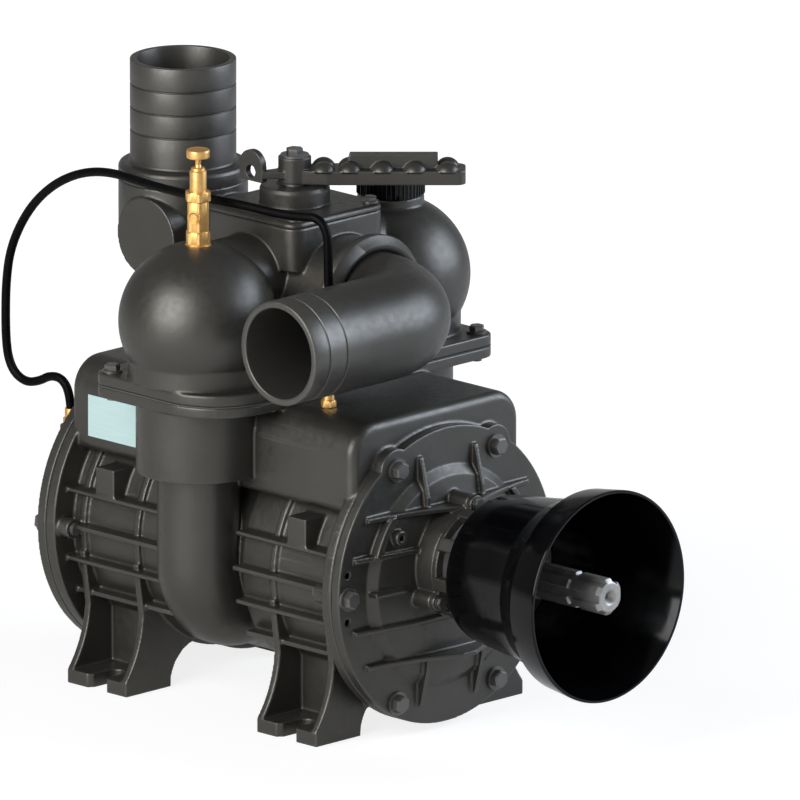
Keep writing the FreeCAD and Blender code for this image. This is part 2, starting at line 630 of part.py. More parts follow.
def arc_between(start, end, radius):
    """Arc from start to end; a positive radius turns left. Also tells which end is which."""
    chord = end - start
    middle = (start + end) * 0.5
    left = FreeCAD.Vector(-chord.y, chord.x, 0)
    left.normalize()
    height = math.sqrt(max(radius * radius - chord.Length ** 2 / 4, 0))
    centre = middle + left * math.copysign(height, radius)
    first, last = (start, end) if radius > 0 else (end, start)
    begin = math.atan2(first.y - centre.y, first.x - centre.x)
    finish = math.atan2(last.y - centre.y, last.x - centre.x)
    if finish <= begin:
        finish += 2 * math.pi
    circle = Part.Circle(centre, Z, abs(radius))
    ends = (1, 2) if radius > 0 else (2, 1)
    return Part.ArcOfCircle(circle, begin, finish), ends


def outline(sketch, corners):
    """Closed outline through corners; a third value is the radius of the arc that reaches the corner."""
    count = len(corners)
    points = [FreeCAD.Vector(float(sized(c[0])), float(sized(c[1])), 0) for c in corners]
    first_edge = sketch.GeometryCount
    ends = []
    for index in range(count):
        start, end = points[index - 1], points[index]
        if len(corners[index]) == 2:
            sketch.addGeometry(Part.LineSegment(start, end), False)
            ends.append((1, 2))
        else:
            arc, arc_ends = arc_between(start, end, float(sized(corners[index][2])))
            sketch.addGeometry(arc, False)
            ends.append(arc_ends)
    for index in range(count):
        before = (index - 1) % count
        sketch.addConstraint(Sketcher.Constraint("Coincident", first_edge + before, ends[before][1],
                                                 first_edge + index, ends[index][0]))
    for index in range(count):
        edge = first_edge + index
        fix_point(sketch, edge, ends[index][1], corners[index][0], corners[index][1])
        if len(corners[index]) == 3:
            radius = sized(corners[index][2])
            fix_radius(sketch, edge, radius if radius.number > 0 else -radius)
    return sketch


def circle(sketch, radius, x=0, y=0):
    edge = sketch.addGeometry(Part.Circle(FreeCAD.Vector(float(sized(x)), float(sized(y)), 0), Z,
                                          float(sized(radius))), False)
    fix_point(sketch, edge, 3, x, y)
    fix_radius(sketch, edge, radius)
    return sketch


def pad(body, sketch, length, symmetric=False, reverse=False):
    obj = body.newObject("PartDesign::Pad", f"{body.Name}_pad")
    obj.Profile = sketch
    tie(obj, "Length", length)
    obj.SideType = "Symmetric" if symmetric else "One side"
    obj.Reversed = reverse
    body.Tip = obj
    return obj


def pocket(body, sketch, length=None, symmetric=False, reverse=False):
    """Cuts a sketch to a depth, or right through both ways where no depth is given."""
    doc.recompute()
    obj = body.newObject("PartDesign::Pocket", f"{body.Name}_pocket")
    obj.Profile = sketch
    if length is None:
        obj.Type = "ThroughAll"
        obj.SideType = "Symmetric"
    else:
        tie(obj, "Length", length)
        obj.SideType = "Symmetric" if symmetric else "One side"
        obj.Reversed = reverse
    body.Tip = obj
    return obj


def turned_feature(body, kind, sketch, axis):
    obj = body.newObject(f"PartDesign::{kind}", f"{body.Name}_turned")
    obj.Profile = sketch
    obj.ReferenceAxis = (sketch, [axis])
    obj.Angle = 360
    body.Tip = obj
    return obj


def turned_along(body, profile, kind="Revolution"):
    """Turned about the body's Y axis; the profile gives (distance along Y, radius)."""
    return turned_feature(body, kind, outline(sketch_on(body, "YZ_Plane"), profile), "H_Axis")


def turned_upright(body, profile, kind="Revolution"):
    """Turned about the body's Z axis; the profile gives (radius, height)."""
    return turned_feature(body, kind, outline(sketch_on(body, "XZ_Plane"), profile), "V_Axis")


def tube_profile(inner, outer, start, end):
    """Profile of a plain ring between two places along its axis."""
    return [(start, inner), (start, outer), (end, outer), (end, inner)]


def rounded_rectangle(half_x, half_y, radius):
    """Corners of a rectangle with four rounded corners, anticlockwise."""
    return [(half_x, -half_y + radius), (half_x, half_y - radius), (half_x - radius, half_y, radius),
            (radius - half_x, half_y), (-half_x, half_y - radius, radius), (-half_x, radius - half_y),
            (radius - half_x, -half_y, radius), (half_x - radius, -half_y),
            (half_x, radius - half_y, radius)][1:]


def round_pattern(body, feature_obj, axis_role, count):
    """Repeats a feature round one of the body's axes."""
    doc.recompute()
    axis = [item for item in body.Origin.OriginFeatures if item.Role == axis_role][0]
    obj = body.newObject("PartDesign::PolarPattern", f"{body.Name}_pattern")
    obj.Originals = [feature_obj]
    obj.Axis = (axis, [""])
    obj.Angle = 360
    tie(obj, "Occurrences", count)
    body.Tip = obj
    return obj


# Fasteners and seals, each group one node of separate solids

def hex_prism(across, height, at=FreeCAD.Vector()):
    radius = float(across) / math.sqrt(3)
    corners = [at + FreeCAD.Vector(radius * math.cos(math.radians(60 * k)),
                                   radius * math.sin(math.radians(60 * k)), 0) for k in range(7)]
    return Part.Face(Part.makePolygon(corners)).extrude(Z * float(height))


def hex_bolt(shank_radius, grip, washer=True):
    """Bolt standing on its seat at the origin: washer and head above, shank below."""
    shank = float(shank_radius)
    washer_height = 0.4 * shank if washer else 0
    pieces = [hex_prism(3.1 * shank, 1.25 * shank, Z * washer_height)]
    if washer:
        pieces.append(Part.makeCylinder(2.0 * shank, washer_height))
    pieces.append(Part.makeCylinder(shank, float(grip), FreeCAD.Vector(), -Z))
    return pieces[0].multiFuse(pieces[1:]).removeSplitter()


def cap_screw(shank_radius, grip):
    """Socket head screw standing on its seat at the origin."""
    shank = float(shank_radius)
    head = Part.makeCylinder(1.6 * shank, 1.9 * shank)
    head = head.cut(hex_prism(1.6 * shank, 1.2 * shank, Z * 0.9 * shank))
    return head.fuse(Part.makeCylinder(shank, float(grip), FreeCAD.Vector(), -Z)).removeSplitter()


def moved(shape, at, along=Z):
    copy = shape.copy()
    copy.Placement = FreeCAD.Placement(FreeCAD.Vector(*(float(sized(v)) for v in at)), turn_to(along))
    return copy


def group(node, shapes):
    return keep(feature(node, Part.makeCompound(shapes)), node)


def cover_bolt_places(side):
    """Six bolt places on one end of the casing, the first straight out to +X."""
    radius = d.bolt_circle_radius
    half = radius / 2
    tall = radius * root(sized(3)) / 2
    return [(x, side * cover_face, d.casing_height + z)
            for x, z in ((radius, 0 * radius), (half, tall), (-half, tall),
                         (-radius, 0 * radius), (-half, -tall), (half, -tall))]


# Pump casing

def rib_reach(height):
    """Half width of a side rib, which ends on the rib circle."""
    rise = height - d.rib_circle_height
    return root(d.rib_circle_radius * d.rib_circle_radius - rise * rise)


def foot(side, end):
    """One foot: slab with open slot, two gusset plates, back wall."""
    name = f"foot_{'right' if side > 0 else 'left'}_{'rear' if end > 0 else 'front'}"
    body = body_at(name)
    turn = side * end
    slab = sketch_on(body, "XY_Plane")
    mouth = d.foot_half_width - d.slot_mouth_depth
    outline(slab, [
        (side * d.foot_inner, end * d.foot_near),
        (side * d.foot_half_width, end * d.foot_near),
        (side * d.foot_half_width, end * (d.slot_centre - d.slot_mouth)),
        (side * mouth, end * (d.slot_centre - d.slot_radius)),
        (side * d.slot_inner, end * (d.slot_centre - d.slot_radius)),
        (side * d.slot_inner, end * (d.slot_centre + d.slot_radius), -turn * (d.slot_radius + 0.001)),
        (side * mouth, end * (d.slot_centre + d.slot_radius)),
        (side * d.foot_half_width, end * (d.slot_centre + d.slot_mouth)),
        (side * d.foot_half_width, end * d.foot_far),
        (side * d.foot_inner, end * d.foot_far)])
    pad(body, slab, d.foot_thick)
    for place_y in (d.foot_near, d.foot_far - d.gusset_thick):
        near = place_y if end > 0 else -place_y - d.gusset_thick
        gusset = sketch_on(body, "XZ_Plane", -near)
        outline(gusset, [
            (side * d.foot_half_width, 0),
            (side * d.foot_half_width, d.foot_thick),
            (side * (d.foot_half_width - d.gusset_waist_inset), d.foot_thick + d.gusset_waist_rise,
             -side * d.gusset_curve),
            (side * (d.foot_half_width - d.gusset_top_inset), d.foot_thick + d.gusset_rise),
            (side * (d.foot_half_width - d.gusset_root_inset), d.foot_thick + d.gusset_rise),
            (side * d.gusset_arch_half, d.gusset_arch_high),
            (side * d.gusset_arch_half, d.gusset_arch_low),
            (side * d.foot_inner, 0, -side * d.gusset_arch)])
        pad(body, gusset, d.gusset_thick, reverse=True)
    wall = sketch_on(body, "XY_Plane")
    back = d.foot_inner + d.gusset_thick
    outline(wall, [
        (side * d.foot_inner, end * d.foot_near),
        (side * back, end * d.foot_near),
        (side * back, end * d.foot_far),
        (side * d.foot_inner, end * d.foot_far)])
    pad(body, wall, d.foot_wall_height)
    return body


def upper_box():
    """Box over the barrel with rounded long edges and rounded ends."""
    body = body_at("upper_box")
    half, low, high = d.upper_box_half_width, d.upper_box_bottom, d.upper_box_top
    big, small = d.upper_box_round, d.upper_box_round / 4
    sketch = sketch_on(body, "XZ_Plane")
    outline(sketch, [
        (half - small, low), (half, low + small, small), (half, high - big), (half - big, high, big),
        (big - half, high), (-half, high - big, big), (-half, low + small),
        (small - half, low, small)])
    bar = pad(body, sketch, 2 * d.upper_box_half_length, symmetric=True)
    doc.recompute()
    end = float(d.upper_box_half_length)
    edges = [f"Edge{k + 1}" for k, edge in enumerate(bar.Shape.Edges)
             if edge.BoundBox.YLength < 0.01 and abs(abs(edge.CenterOfMass.y) - end) < 0.01
             and edge.BoundBox.ZMax > low.number + small.number + 0.01]
    rounding = body.newObject("PartDesign::Fillet", "upper_box_ends")
    rounding.Base = (bar, edges)
    tie(rounding, "Radius", d.upper_box_end_round)
    body.Tip = rounding
    return body


def port_column(side, tube_radius, top, name):
    """Upright tube that bends inward under the barrel."""
    reach = d.port_offset - d.port_bend_radius
    bend_bottom = d.port_bend_height - d.port_bend_radius
    outward = X * side
    return [
        cylinder(f"{name}_upright", tube_radius, top - d.port_bend_height,
                 (side * d.port_offset, 0, d.port_bend_height)),
        quarter_bend(f"{name}_bend", d.port_bend_radius, tube_radius,
                     (side * reach, 0, d.port_bend_height), outward, -Z),
        cylinder(f"{name}_level", tube_radius, reach - d.section_start, (side * reach, 0, bend_bottom),
                 -outward)]


def top_outline(sketch, inset=0):
    """Outline of the flange between casing and manifold, with one large corner."""
    x, y = d.top_half_length - inset, d.top_half_width - inset
    small, large = d.top_corner_small, d.top_corner_large
    return outline(sketch, [
        (x, y - small), (x - small, y, small), (small - x, y), (-x, y - small, small),
        (-x, large - y), (large - x, -y, large), (x - small, -y), (x, small - y, small)])


def manifold_bolt_places():
    x, y = d.top_bolt_x, d.top_bolt_y
    return [(x, y), (-x, y), (x, -y), (-d.top_bolt_near_x, -y)]


def pump_casing():
    half = d.flange_face
    pieces = [cylinder("waist", d.waist_radius, 2 * d.section_start + 2,
                       (0, -d.section_start - 1, d.casing_height), Y)]
    for side in (-1, 1):
        name = "rear" if side > 0 else "front"
        outward = Y * side
        pieces.append(cylinder(f"barrel_{name}", d.barrel_radius, half - d.section_start - 1,
                               (0, side * d.section_start, d.casing_height), outward))
        pieces.append(cylinder(f"flange_{name}", d.flange_radius, d.flange_thick,
                               (0, side * (half - d.flange_thick), d.casing_height), outward))
        for index, (x, y, z) in enumerate(cover_bolt_places(side)):
            start = half - d.flange_thick - d.boss_length
            pieces.append(cylinder(f"boss_{name}_{index}", d.boss_radius, d.boss_length + 1,
                                   (x, side * start, z), outward))
            if index in (1, 2):
                pieces.append(cylinder(f"lobe_{name}_{index}", d.lobe_radius, d.flange_thick,
                                       (x, side * (half - d.flange_thick), z), outward))
        for index in range(4):
            height = d.rib_lowest + index * d.rib_pitch
            reach = rib_reach(height)
            length = half - d.flange_thick - d.section_start + 1
            low_y = d.section_start if side > 0 else -d.section_start - length
            pieces.append(block(f"rib_{name}_{index}", (2 * reach, length, d.rib_thick),
                                (-reach, low_y, height - d.rib_thick / 2)))
        for index, start in enumerate((d.foot_near, d.foot_far - d.gusset_thick)):
            pieces.append(cylinder(f"hoop_{name}_{index}", d.hoop_radius, d.gusset_thick,
                                   (0, side * start, d.casing_height), outward))
        pad_y = d.side_pad_near if side > 0 else -d.side_pad_near - d.side_pad_size
        pieces.append(block(f"side_pads_{name}", (2 * d.side_pad_reach, d.side_pad_size, d.side_pad_size),
                            (-d.side_pad_reach, pad_y, d.side_pad_bottom)))
        for left in (-1, 1):
            pieces.append(foot(left, side))
    pieces.append(upper_box())
    for side in (-1, 1):
        name = "column_right" if side > 0 else "column_left"
        pieces += port_column(side, d.port_tube_radius, d.port_head_bottom + 5, name)
        pieces.append(cylinder(f"{name}_head", d.port_head_radius, d.top_face - d.port_head_bottom - 5,
                               (side * d.port_offset, 0, d.port_head_bottom)))
    flange = body_at("casing_top_flange", (0, 0, d.top_face - d.top_flange_thick))
    pad(flange, top_outline(sketch_on(flange, "XY_Plane")), d.top_flange_thick)
    pieces.append(flange)
    solid = fuse("casing_solid", pieces)

    cuts = [cylinder("casing_bore", d.bore_radius, 2 * half + 2, (0, -half - 1, d.casing_height), Y)]
    for side in (-1, 1):
        name = "duct_right" if side > 0 else "duct_left"
        cuts += port_column(side, d.port_duct_radius, d.top_face + 1, name)
        for index, (x, y, z) in enumerate(cover_bolt_places(side)):
            cuts.append(cylinder(f"bolt_hole_{side + 1}_{index}", d.cover_bolt_radius + d.hole_gap,
                                 d.cover_bolt_grip + 2, (x, y, z), -Y * side))
    for index, (x, y) in enumerate(manifold_bolt_places()):
        cuts.append(cylinder(f"top_hole_{index}", d.top_bolt_radius + d.hole_gap, d.top_bolt_grip + 1,
                             (x, y, d.top_face - d.top_bolt_grip)))
    cuts.append(cylinder("fitting_hole", d.fitting_thread_radius + d.hole_gap, 2 * d.fitting_thread_length,
                         (d.fitting_x, d.fitting_y, d.upper_box_top - d.fitting_thread_length - 1)))
    keep(cut("pump_casing", solid, cuts), "pump_casing")


def name_plate():
    """Bare plate on the flat of the upper box."""
    keep(block("name_plate", (d.plate_thick, d.plate_length, d.plate_height),
               (-d.upper_box_half_width - d.plate_thick, d.plate_near, d.plate_bottom)), "name_plate")


# Covers, gaskets and their bolts

def cover_plate(name, side, thick, start):
    """Round plate with two lobes, its inner face at the start distance; side is the end of the pump."""
    body = body_at(name, (0, 0, d.casing_height))
    half, tall = d.bolt_circle_radius / 2, d.bolt_circle_radius * root(sized(3)) / 2
    disc = sketch_on(body, "XZ_Plane", -side * start)
    pad(body, circle(disc, d.flange_radius), thick, reverse=side > 0)
    lobes = sketch_on(body, "XZ_Plane", -side * start)
    circle(lobes, d.lobe_radius, half, tall)
    circle(lobes, d.lobe_radius, -half, tall)
    pad(body, lobes, thick, reverse=side > 0)
    return body


def drill_bolt_circle(body, side):
    holes = sketch_on(body, "XZ_Plane", -side * d.flange_face)
    for x, y, z in cover_bolt_places(side):
        circle(holes, d.cover_bolt_radius + d.hole_gap, x, z - d.casing_height)
    pocket(body, holes)


def cover_gasket(side):
    name = "rear_gasket" if side > 0 else "front_gasket"
    body = cover_plate(name, side, d.gasket_thick, d.flange_face)
    pocket(body, circle(sketch_on(body, "XZ_Plane", -side * d.flange_face), d.bore_radius + 1))
    drill_bolt_circle(body, side)
    keep(body, name)


def level_fin(body, side, height, tip, tip_rise, root_x, peak_rise, hollow=None):
    """Fin standing on the cover in a level plane, symmetric about the middle; its ridge may be hollow."""
    sketch = sketch_on(body, "XY_Plane", height)
    base = side * (cover_face - 2)
    low = side * (cover_face + tip_rise)
    high = side * (cover_face + peak_rise)
    near, far = (root_x, high), (-tip, low)
    if hollow is not None:
        near, far = (root_x, high, -side * hollow), (-tip, low, -side * hollow)
    outline(sketch, [(-tip, base), (tip, base), (tip, low), near, (-root_x, high), far])
    pad(body, sketch, d.fin_thick, symmetric=True)


def upright_fin(body, side, x, way):
    """Fin standing on the cover in an upright plane, above or below the hub."""
    sketch = sketch_on(body, "YZ_Plane", x)
    base = side * (cover_face - 2)
    ridge = side * (cover_face + d.upright_rise)
    outline(sketch, [(base, way * d.fin_spread), (base, way * d.upright_reach),
                     (side * (cover_face + d.fin_tip_rise), way * d.upright_reach),
                     (ridge, way * d.upright_shoulder), (ridge, way * d.fin_spread)])
    pad(body, sketch, d.fin_thick, symmetric=True)


def arc_rib(body, side, way):
    """Curved rib between two level fins above the casing axis."""
    outer, inner = d.arc_rib_radius, d.arc_rib_radius - d.arc_rib_thick
    low, high = d.fin_middle_spread, d.fin_spread

    def across(radius, height):
        return way * root(radius * radius - height * height)
    sketch = sketch_on(body, "XZ_Plane", -side * cover_face)
    outline(sketch, [(across(inner, low), low), (across(outer, low), low),
                     (across(outer, high), high, way * outer),
                     (across(inner, high), high), (across(inner, low), low, -way * inner)][1:])
    pad(body, sketch, d.arc_rib_rise, reverse=side > 0)


def front_cover_details(body):
    """Small boss with its blind hole and the threaded holes that push the cover off."""
    boss = sketch_on(body, "XZ_Plane", cover_face)
    place = (-d.blind_boss_x, d.blind_boss_rise)
    pad(body, circle(boss, d.blind_boss_radius, *place), d.blind_boss_height)
    hole = sketch_on(body, "XZ_Plane", cover_face + d.blind_boss_height)
    pocket(body, circle(hole, d.blind_hole_radius, *place), d.blind_hole_depth)
    jacks = sketch_on(body, "XZ_Plane", cover_face)
    for side in (-1, 1):
        for way in (-1, 1):
            circle(jacks, d.jack_hole_radius, side * d.bolt_circle_radius, way * d.jack_hole_spread)
    pocket(body, jacks, d.cover_thick)


def cover(side):
    """End cover: plate, shallow cone, bearing hub, fins."""
    name = "rear_cover" if side > 0 else "front_cover"
    body = cover_plate(name, side, d.cover_thick, chamber_end)
    rise = cover_face + d.cone_rise
    shoulder = rise + d.cone_shoulder
    turned_along(body, [(side * chamber_end, 0), (side * chamber_end, d.cone_radius),
                        (side * cover_face, d.cone_radius), (side * rise, d.cone_radius - d.cone_lip),
                        (side * shoulder, d.cone_top_radius), (side * shoulder, 0)])
    hub_rise = d.hub_face - cover_face
    for height in (d.fin_spread, -d.fin_spread):
        level_fin(body, side, height, d.fin_tip, d.fin_tip_rise, d.ear_radius, hub_rise - d.fin_hub_drop,
                  d.fin_hollow)
    for height in (d.fin_middle_spread, -d.fin_middle_spread):
        level_fin(body, side, height, d.fin_middle_tip, d.fin_tip_rise, d.hub_radius, d.fin_middle_rise)
    level_fin(body, side, sized(0), d.fin_axis_tip, d.fin_axis_rise, d.hub_radius, d.fin_axis_rise)
    for way in (-1, 1):
        upright_fin(body, side, d.upright_spread, way)
        upright_fin(body, side, -d.upright_spread, way)
        arc_rib(body, side, way)
    hub = sketch_on(body, "XZ_Plane", -side * chamber_end)
    hub_length = d.hub_face - chamber_end
    pad(body, circle(hub, d.hub_radius, 0, eccentricity), hub_length, reverse=side > 0)
    if side < 0:
        ears = sketch_on(body, "XZ_Plane", d.hub_face)
        for x, z in cap_places():
            circle(ears, d.ear_radius, x, z + eccentricity)
        pad(body, ears, hub_length - 2, reverse=True)
    seat = sketch_on(body, "XZ_Plane", -side * d.hub_face)
    pocket(body, circle(seat, d.bearing_radius, 0, eccentricity), d.hub_face - d.bearing_start,
           reverse=side > 0)
    seal_seat = sketch_on(body, "XZ_Plane", -side * d.bearing_start)
    pocket(body, circle(seal_seat, d.seal_outer_radius, 0, eccentricity), d.seal_width,
           reverse=side > 0)
    bore = sketch_on(body, "XZ_Plane", -side * chamber_end)
    pocket(body, circle(bore, d.rotor_seat_radius + 1, 0, eccentricity))
    drill_bolt_circle(body, side)
    screws = sketch_on(body, "XZ_Plane", -side * d.hub_face)
    if side > 0:
        for x, z in oil_screw_places():
            circle(screws, d.oil_screw_radius + d.hole_gap, x, z + eccentricity)
        pocket(body, screws, d.oil_screw_grip + 1, reverse=True)
    else:
        for x, z in cap_places():
            circle(screws, d.cap_screw_shank + d.hole_gap, x, z + eccentricity)
        pocket(body, screws, d.cap_screw_grip + 1)
        front_cover_details(body)
    keep(body, name)


def cover_bolts(side):
    node = "rear_cover_bolts" if side > 0 else "front_cover_bolts"
    grip = d.cover_bolt_grip
    group(node, [moved(hex_bolt(d.cover_bolt_radius, grip), at, Y * side)
                 for at in cover_bolt_places(side)])


# Shaft, rotor, vanes, bearings, seals: all turn about the shaft axis

def rotor_shaft():
    body = body_at("rotor_shaft", (0, 0, d.shaft_height))
    shoulder = chamber_end + d.end_gap
    front_neck = d.bearing_start + d.bearing_width + 2
    rear_neck = d.hub_face + 1
    chamfer = 1.6
    turned_along(body, [
        (-d.shaft_end, 0), (-d.shaft_end, d.spline_radius - chamfer),
        (chamfer - d.shaft_end, d.spline_radius), (-d.spline_start, d.spline_radius),
        (-d.spline_start, d.shaft_neck_radius), (-front_neck, d.shaft_neck_radius),
        (-front_neck, d.bearing_bore_radius), (-shoulder, d.bearing_bore_radius),
        (-shoulder, d.rotor_seat_radius), (shoulder, d.rotor_seat_radius),
        (shoulder, d.bearing_bore_radius), (rear_neck, d.bearing_bore_radius),
        (rear_neck, d.gear_shaft_radius), (d.oil_body_face - 1, d.gear_shaft_radius),
        (d.oil_body_face - 1, 0)])
    groove = sketch_on(body, "XZ_Plane", d.shaft_end)
    inner, outer = d.spline_root_radius, d.spline_radius + 1
    half_land = d.spline_width / 2
    lean = math.radians(30)
    # One gap between two splines, its flanks parallel to the splines beside it
    deep = root(inner * inner - half_land * half_land)
    high = root(outer * outer - half_land * half_land)

    def turned_point(along, across, side):
        """Point beside the spline that stands 30 degrees to one side of the gap."""
        x = along * math.sin(lean) - across * math.cos(lean)
        y = along * math.cos(lean) + across * math.sin(lean)
        return side * x, y
    outline(groove, [turned_point(high, half_land, 1),
                     (*turned_point(high, half_land, -1), outer),
                     turned_point(deep, half_land, -1),
                     (*turned_point(deep, half_land, 1), -inner)])
    gap = pocket(body, groove, d.shaft_end - d.spline_start, reverse=False)
    round_pattern(body, gap, "Y_Axis", 6)
    lock = 3.5
    place_y = d.shaft_end - d.lock_groove
    turned_along(body, [(-place_y - lock, d.spline_radius + 2), (-place_y - lock, d.spline_radius),
                        (-place_y, d.spline_root_radius), (lock - place_y, d.spline_radius),
                        (lock - place_y, d.spline_radius + 2)], "Groove")
    turned_along(body, [(-d.shaft_end, 0), (-d.shaft_end, 6), (6 - d.shaft_end, 3.2),
                        (16 - d.shaft_end, 3.2), (18 - d.shaft_end, 0)], "Groove")
    key_slot = sketch_on(body, "XY_Plane", d.rotor_seat_radius - d.key_height / 2)
    outline(key_slot, [(-d.key_width / 2, -d.key_length / 2), (d.key_width / 2, -d.key_length / 2),
                       (d.key_width / 2, d.key_length / 2), (-d.key_width / 2, d.key_length / 2)])
    pocket(body, key_slot, d.key_height, reverse=True)
    keep(body, "rotor_shaft")


def rotor_key():
    keep(block("rotor_key", (d.key_width, d.key_length, d.key_height),
               (-d.key_width / 2, -d.key_length / 2,
                d.shaft_height + d.rotor_seat_radius - d.key_height / 2)), "rotor_key")


def vane_tip():
    """Height of the vane's flat tip: its outer corner stays inside the rotor's round surface."""
    reach = rotor_radius - d.vane_sink
    corner = d.vane_offset + d.vane_thick / 2
    return root(reach * reach - corner * corner)


def rotor():
    body = body_at("rotor", (0, 0, d.shaft_height))
    turned_along(body, tube_profile(d.rotor_seat_radius, rotor_radius, -rotor_half, rotor_half))
    slot = sketch_on(body, "XZ_Plane")
    half = d.vane_thick / 2 + d.vane_gap
    floor = vane_tip() - d.vane_depth - 1
    outline(slot, [(d.vane_offset - half, floor), (d.vane_offset + half, floor),
                   (d.vane_offset + half, rotor_radius + 5), (d.vane_offset - half, rotor_radius + 5)])
    gap = pocket(body, slot)
    round_pattern(body, gap, "Y_Axis", d.vane_count)
    key_slot = sketch_on(body, "XZ_Plane")
    outline(key_slot, [(-d.key_width / 2, 0), (d.key_width / 2, 0),
                       (d.key_width / 2, d.rotor_seat_radius + d.key_height / 2),
                       (-d.key_width / 2, d.rotor_seat_radius + d.key_height / 2)])
    pocket(body, key_slot)
    keep(body, "rotor")


def vanes():
    """Six vanes, drawn in flush with the rotor."""
    top = float(vane_tip())
    depth, thick = float(d.vane_depth), float(d.vane_thick)
    length = 2 * float(rotor_half)
    one = Part.makeBox(thick, length, depth,
                       FreeCAD.Vector(float(d.vane_offset) - thick / 2, -length / 2, top - depth))
    count = int(d.vane_count.number)
    shapes = []
    for index in range(count):
        copy = one.copy()
        copy.rotate(FreeCAD.Vector(), Y, 360.0 * index / count)
        shapes.append(copy)
    keep(feature("vanes", Part.makeCompound(shapes), (0, 0, d.shaft_height)), "vanes")


def bearing(side):
    """Roller bearing as three nodes: outer ring, rollers with cage, inner ring."""
    end = "rear" if side > 0 else "front"
    start, finish = side * d.bearing_start, side * (d.bearing_start + d.bearing_width)
    at = (0, 0, d.shaft_height)
    outer = body_at(f"{end}_bearing_outer", at)
    turned_along(outer, tube_profile(d.bearing_radius - d.race_thick, d.bearing_radius, start, finish))
    keep(outer, f"{end}_bearing_outer")
    inner = body_at(f"{end}_bearing_inner", at)
    turned_along(inner, tube_profile(d.bearing_bore_radius, d.bearing_bore_radius + d.race_thick,
                                     start, finish))
    keep(inner, f"{end}_bearing_inner")
    low = float(d.bearing_bore_radius + d.race_thick)
    high = float(d.bearing_radius - d.race_thick)
    gap = float(d.running_gap)
    pitch, roller = (low + high) / 2, (high - low) / 2 - gap
    width = float(d.bearing_width) - 4
    first = float(start) + side * 2
    count = int(d.roller_count.number)
    rollers = [Part.makeCylinder(roller, width, FreeCAD.Vector(pitch * math.cos(2 * math.pi * k / count),
                                                               first,
                                                               pitch * math.sin(2 * math.pi * k / count)),
                                 Y * side) for k in range(count)]
    outset = Y * side * 1.5
    start_point = FreeCAD.Vector(0, first, 0) - outset
    ring = Part.makeCylinder(pitch + 2, width + 3, start_point, Y * side)
    ring = ring.cut(Part.makeCylinder(pitch - 2, width + 3, start_point, Y * side))
    pockets = [Part.makeCylinder(roller + 0.2, width + 0.4, r.CenterOfMass - Y * side * (width / 2 + 0.2),
                                 Y * side) for r in rollers]
    cage = ring.cut(Part.makeCompound(pockets))
    node = f"{end}_bearing_rollers"
    keep(feature(node, Part.makeCompound(rollers + cage.Solids), at), node)


def shaft_seal(side):
    end = "rear" if side > 0 else "front"
    body = body_at(f"{end}_shaft_seal", (0, 0, d.shaft_height))
    start = d.bearing_start - d.seal_width
    turned_along(body, tube_profile(d.bearing_bore_radius + d.running_gap, d.seal_outer_radius,
                                    side * start, side * d.bearing_start))
    keep(body, f"{end}_shaft_seal")


# Bearing cap, guard ring and guard in front

def cap_places():
    """Three screw places round the shaft, one straight up."""
    radius = d.cap_screw_radius
    return [(0 * radius, radius), (-radius * root(sized(3)) / 2, -radius / 2),
            (radius * root(sized(3)) / 2, -radius / 2)]


def bearing_cap():
    body = body_at("bearing_cap", (0, 0, d.shaft_height))
    front = d.hub_face + d.cap_thick
    turned_along(body, tube_profile(d.cap_bore_radius, d.cap_radius, -front, -d.hub_face))
    keep(body, "bearing_cap")


def guard_screw_places():
    """Screws between the windows of the guard ring."""
    middle = (d.cap_radius + d.hole_gap + d.guard_ring_radius) / 2
    count = int(d.guard_screw_count.number)
    angles = [math.radians(22.5 + 360 * k / count) for k in range(count)]
    return [(middle * math.cos(a), middle * math.sin(a)) for a in angles]


def guard_ring():
    """Ring with ears and windows that carries the guard."""
    body = body_at("guard_ring", (0, 0, d.shaft_height))
    inner, outer = d.cap_radius + d.hole_gap, d.guard_ring_radius
    turned_along(body, tube_profile(inner, outer, -guard_ring_front, -d.hub_face))
    ears = sketch_on(body, "XZ_Plane", d.hub_face + d.cap_thick)
    for x, z in cap_places():
        circle(ears, d.ear_radius, x, z)
    pad(body, ears, d.cap_thick, reverse=True)
    pocket(body, circle(sketch_on(body, "XZ_Plane"), inner))
    window = sketch_on(body, "YZ_Plane", outer)
    front, back = d.window_rim - guard_ring_front, -d.hub_face - d.cap_thick - d.window_start
    half = d.window_half
    outline(window, [(front, -half), (back, -half), (back, half), (front, half)])
    gap = pocket(body, window, 2 * half, symmetric=True)
    round_pattern(body, gap, "Y_Axis", d.window_count)
    holes = sketch_on(body, "XZ_Plane", d.hub_face)
    for x, z in cap_places():
        circle(holes, d.cap_screw_shank + d.hole_gap, x, z)
    pocket(body, holes)
    screw_holes = sketch_on(body, "XZ_Plane", guard_ring_front)
    for x, z in guard_screw_places():
        circle(screw_holes, d.guard_screw_radius + d.hole_gap, x, z)
    pocket(body, screw_holes, d.guard_screw_grip + 1)
    keep(body, "guard_ring")
    group("guard_ring_screws", [moved(hex_bolt(d.cap_screw_shank, d.cap_thick + d.cap_screw_grip),
                                      (x, -d.hub_face - d.cap_thick, d.shaft_height + z), -Y)
                                for x, z in cap_places()])


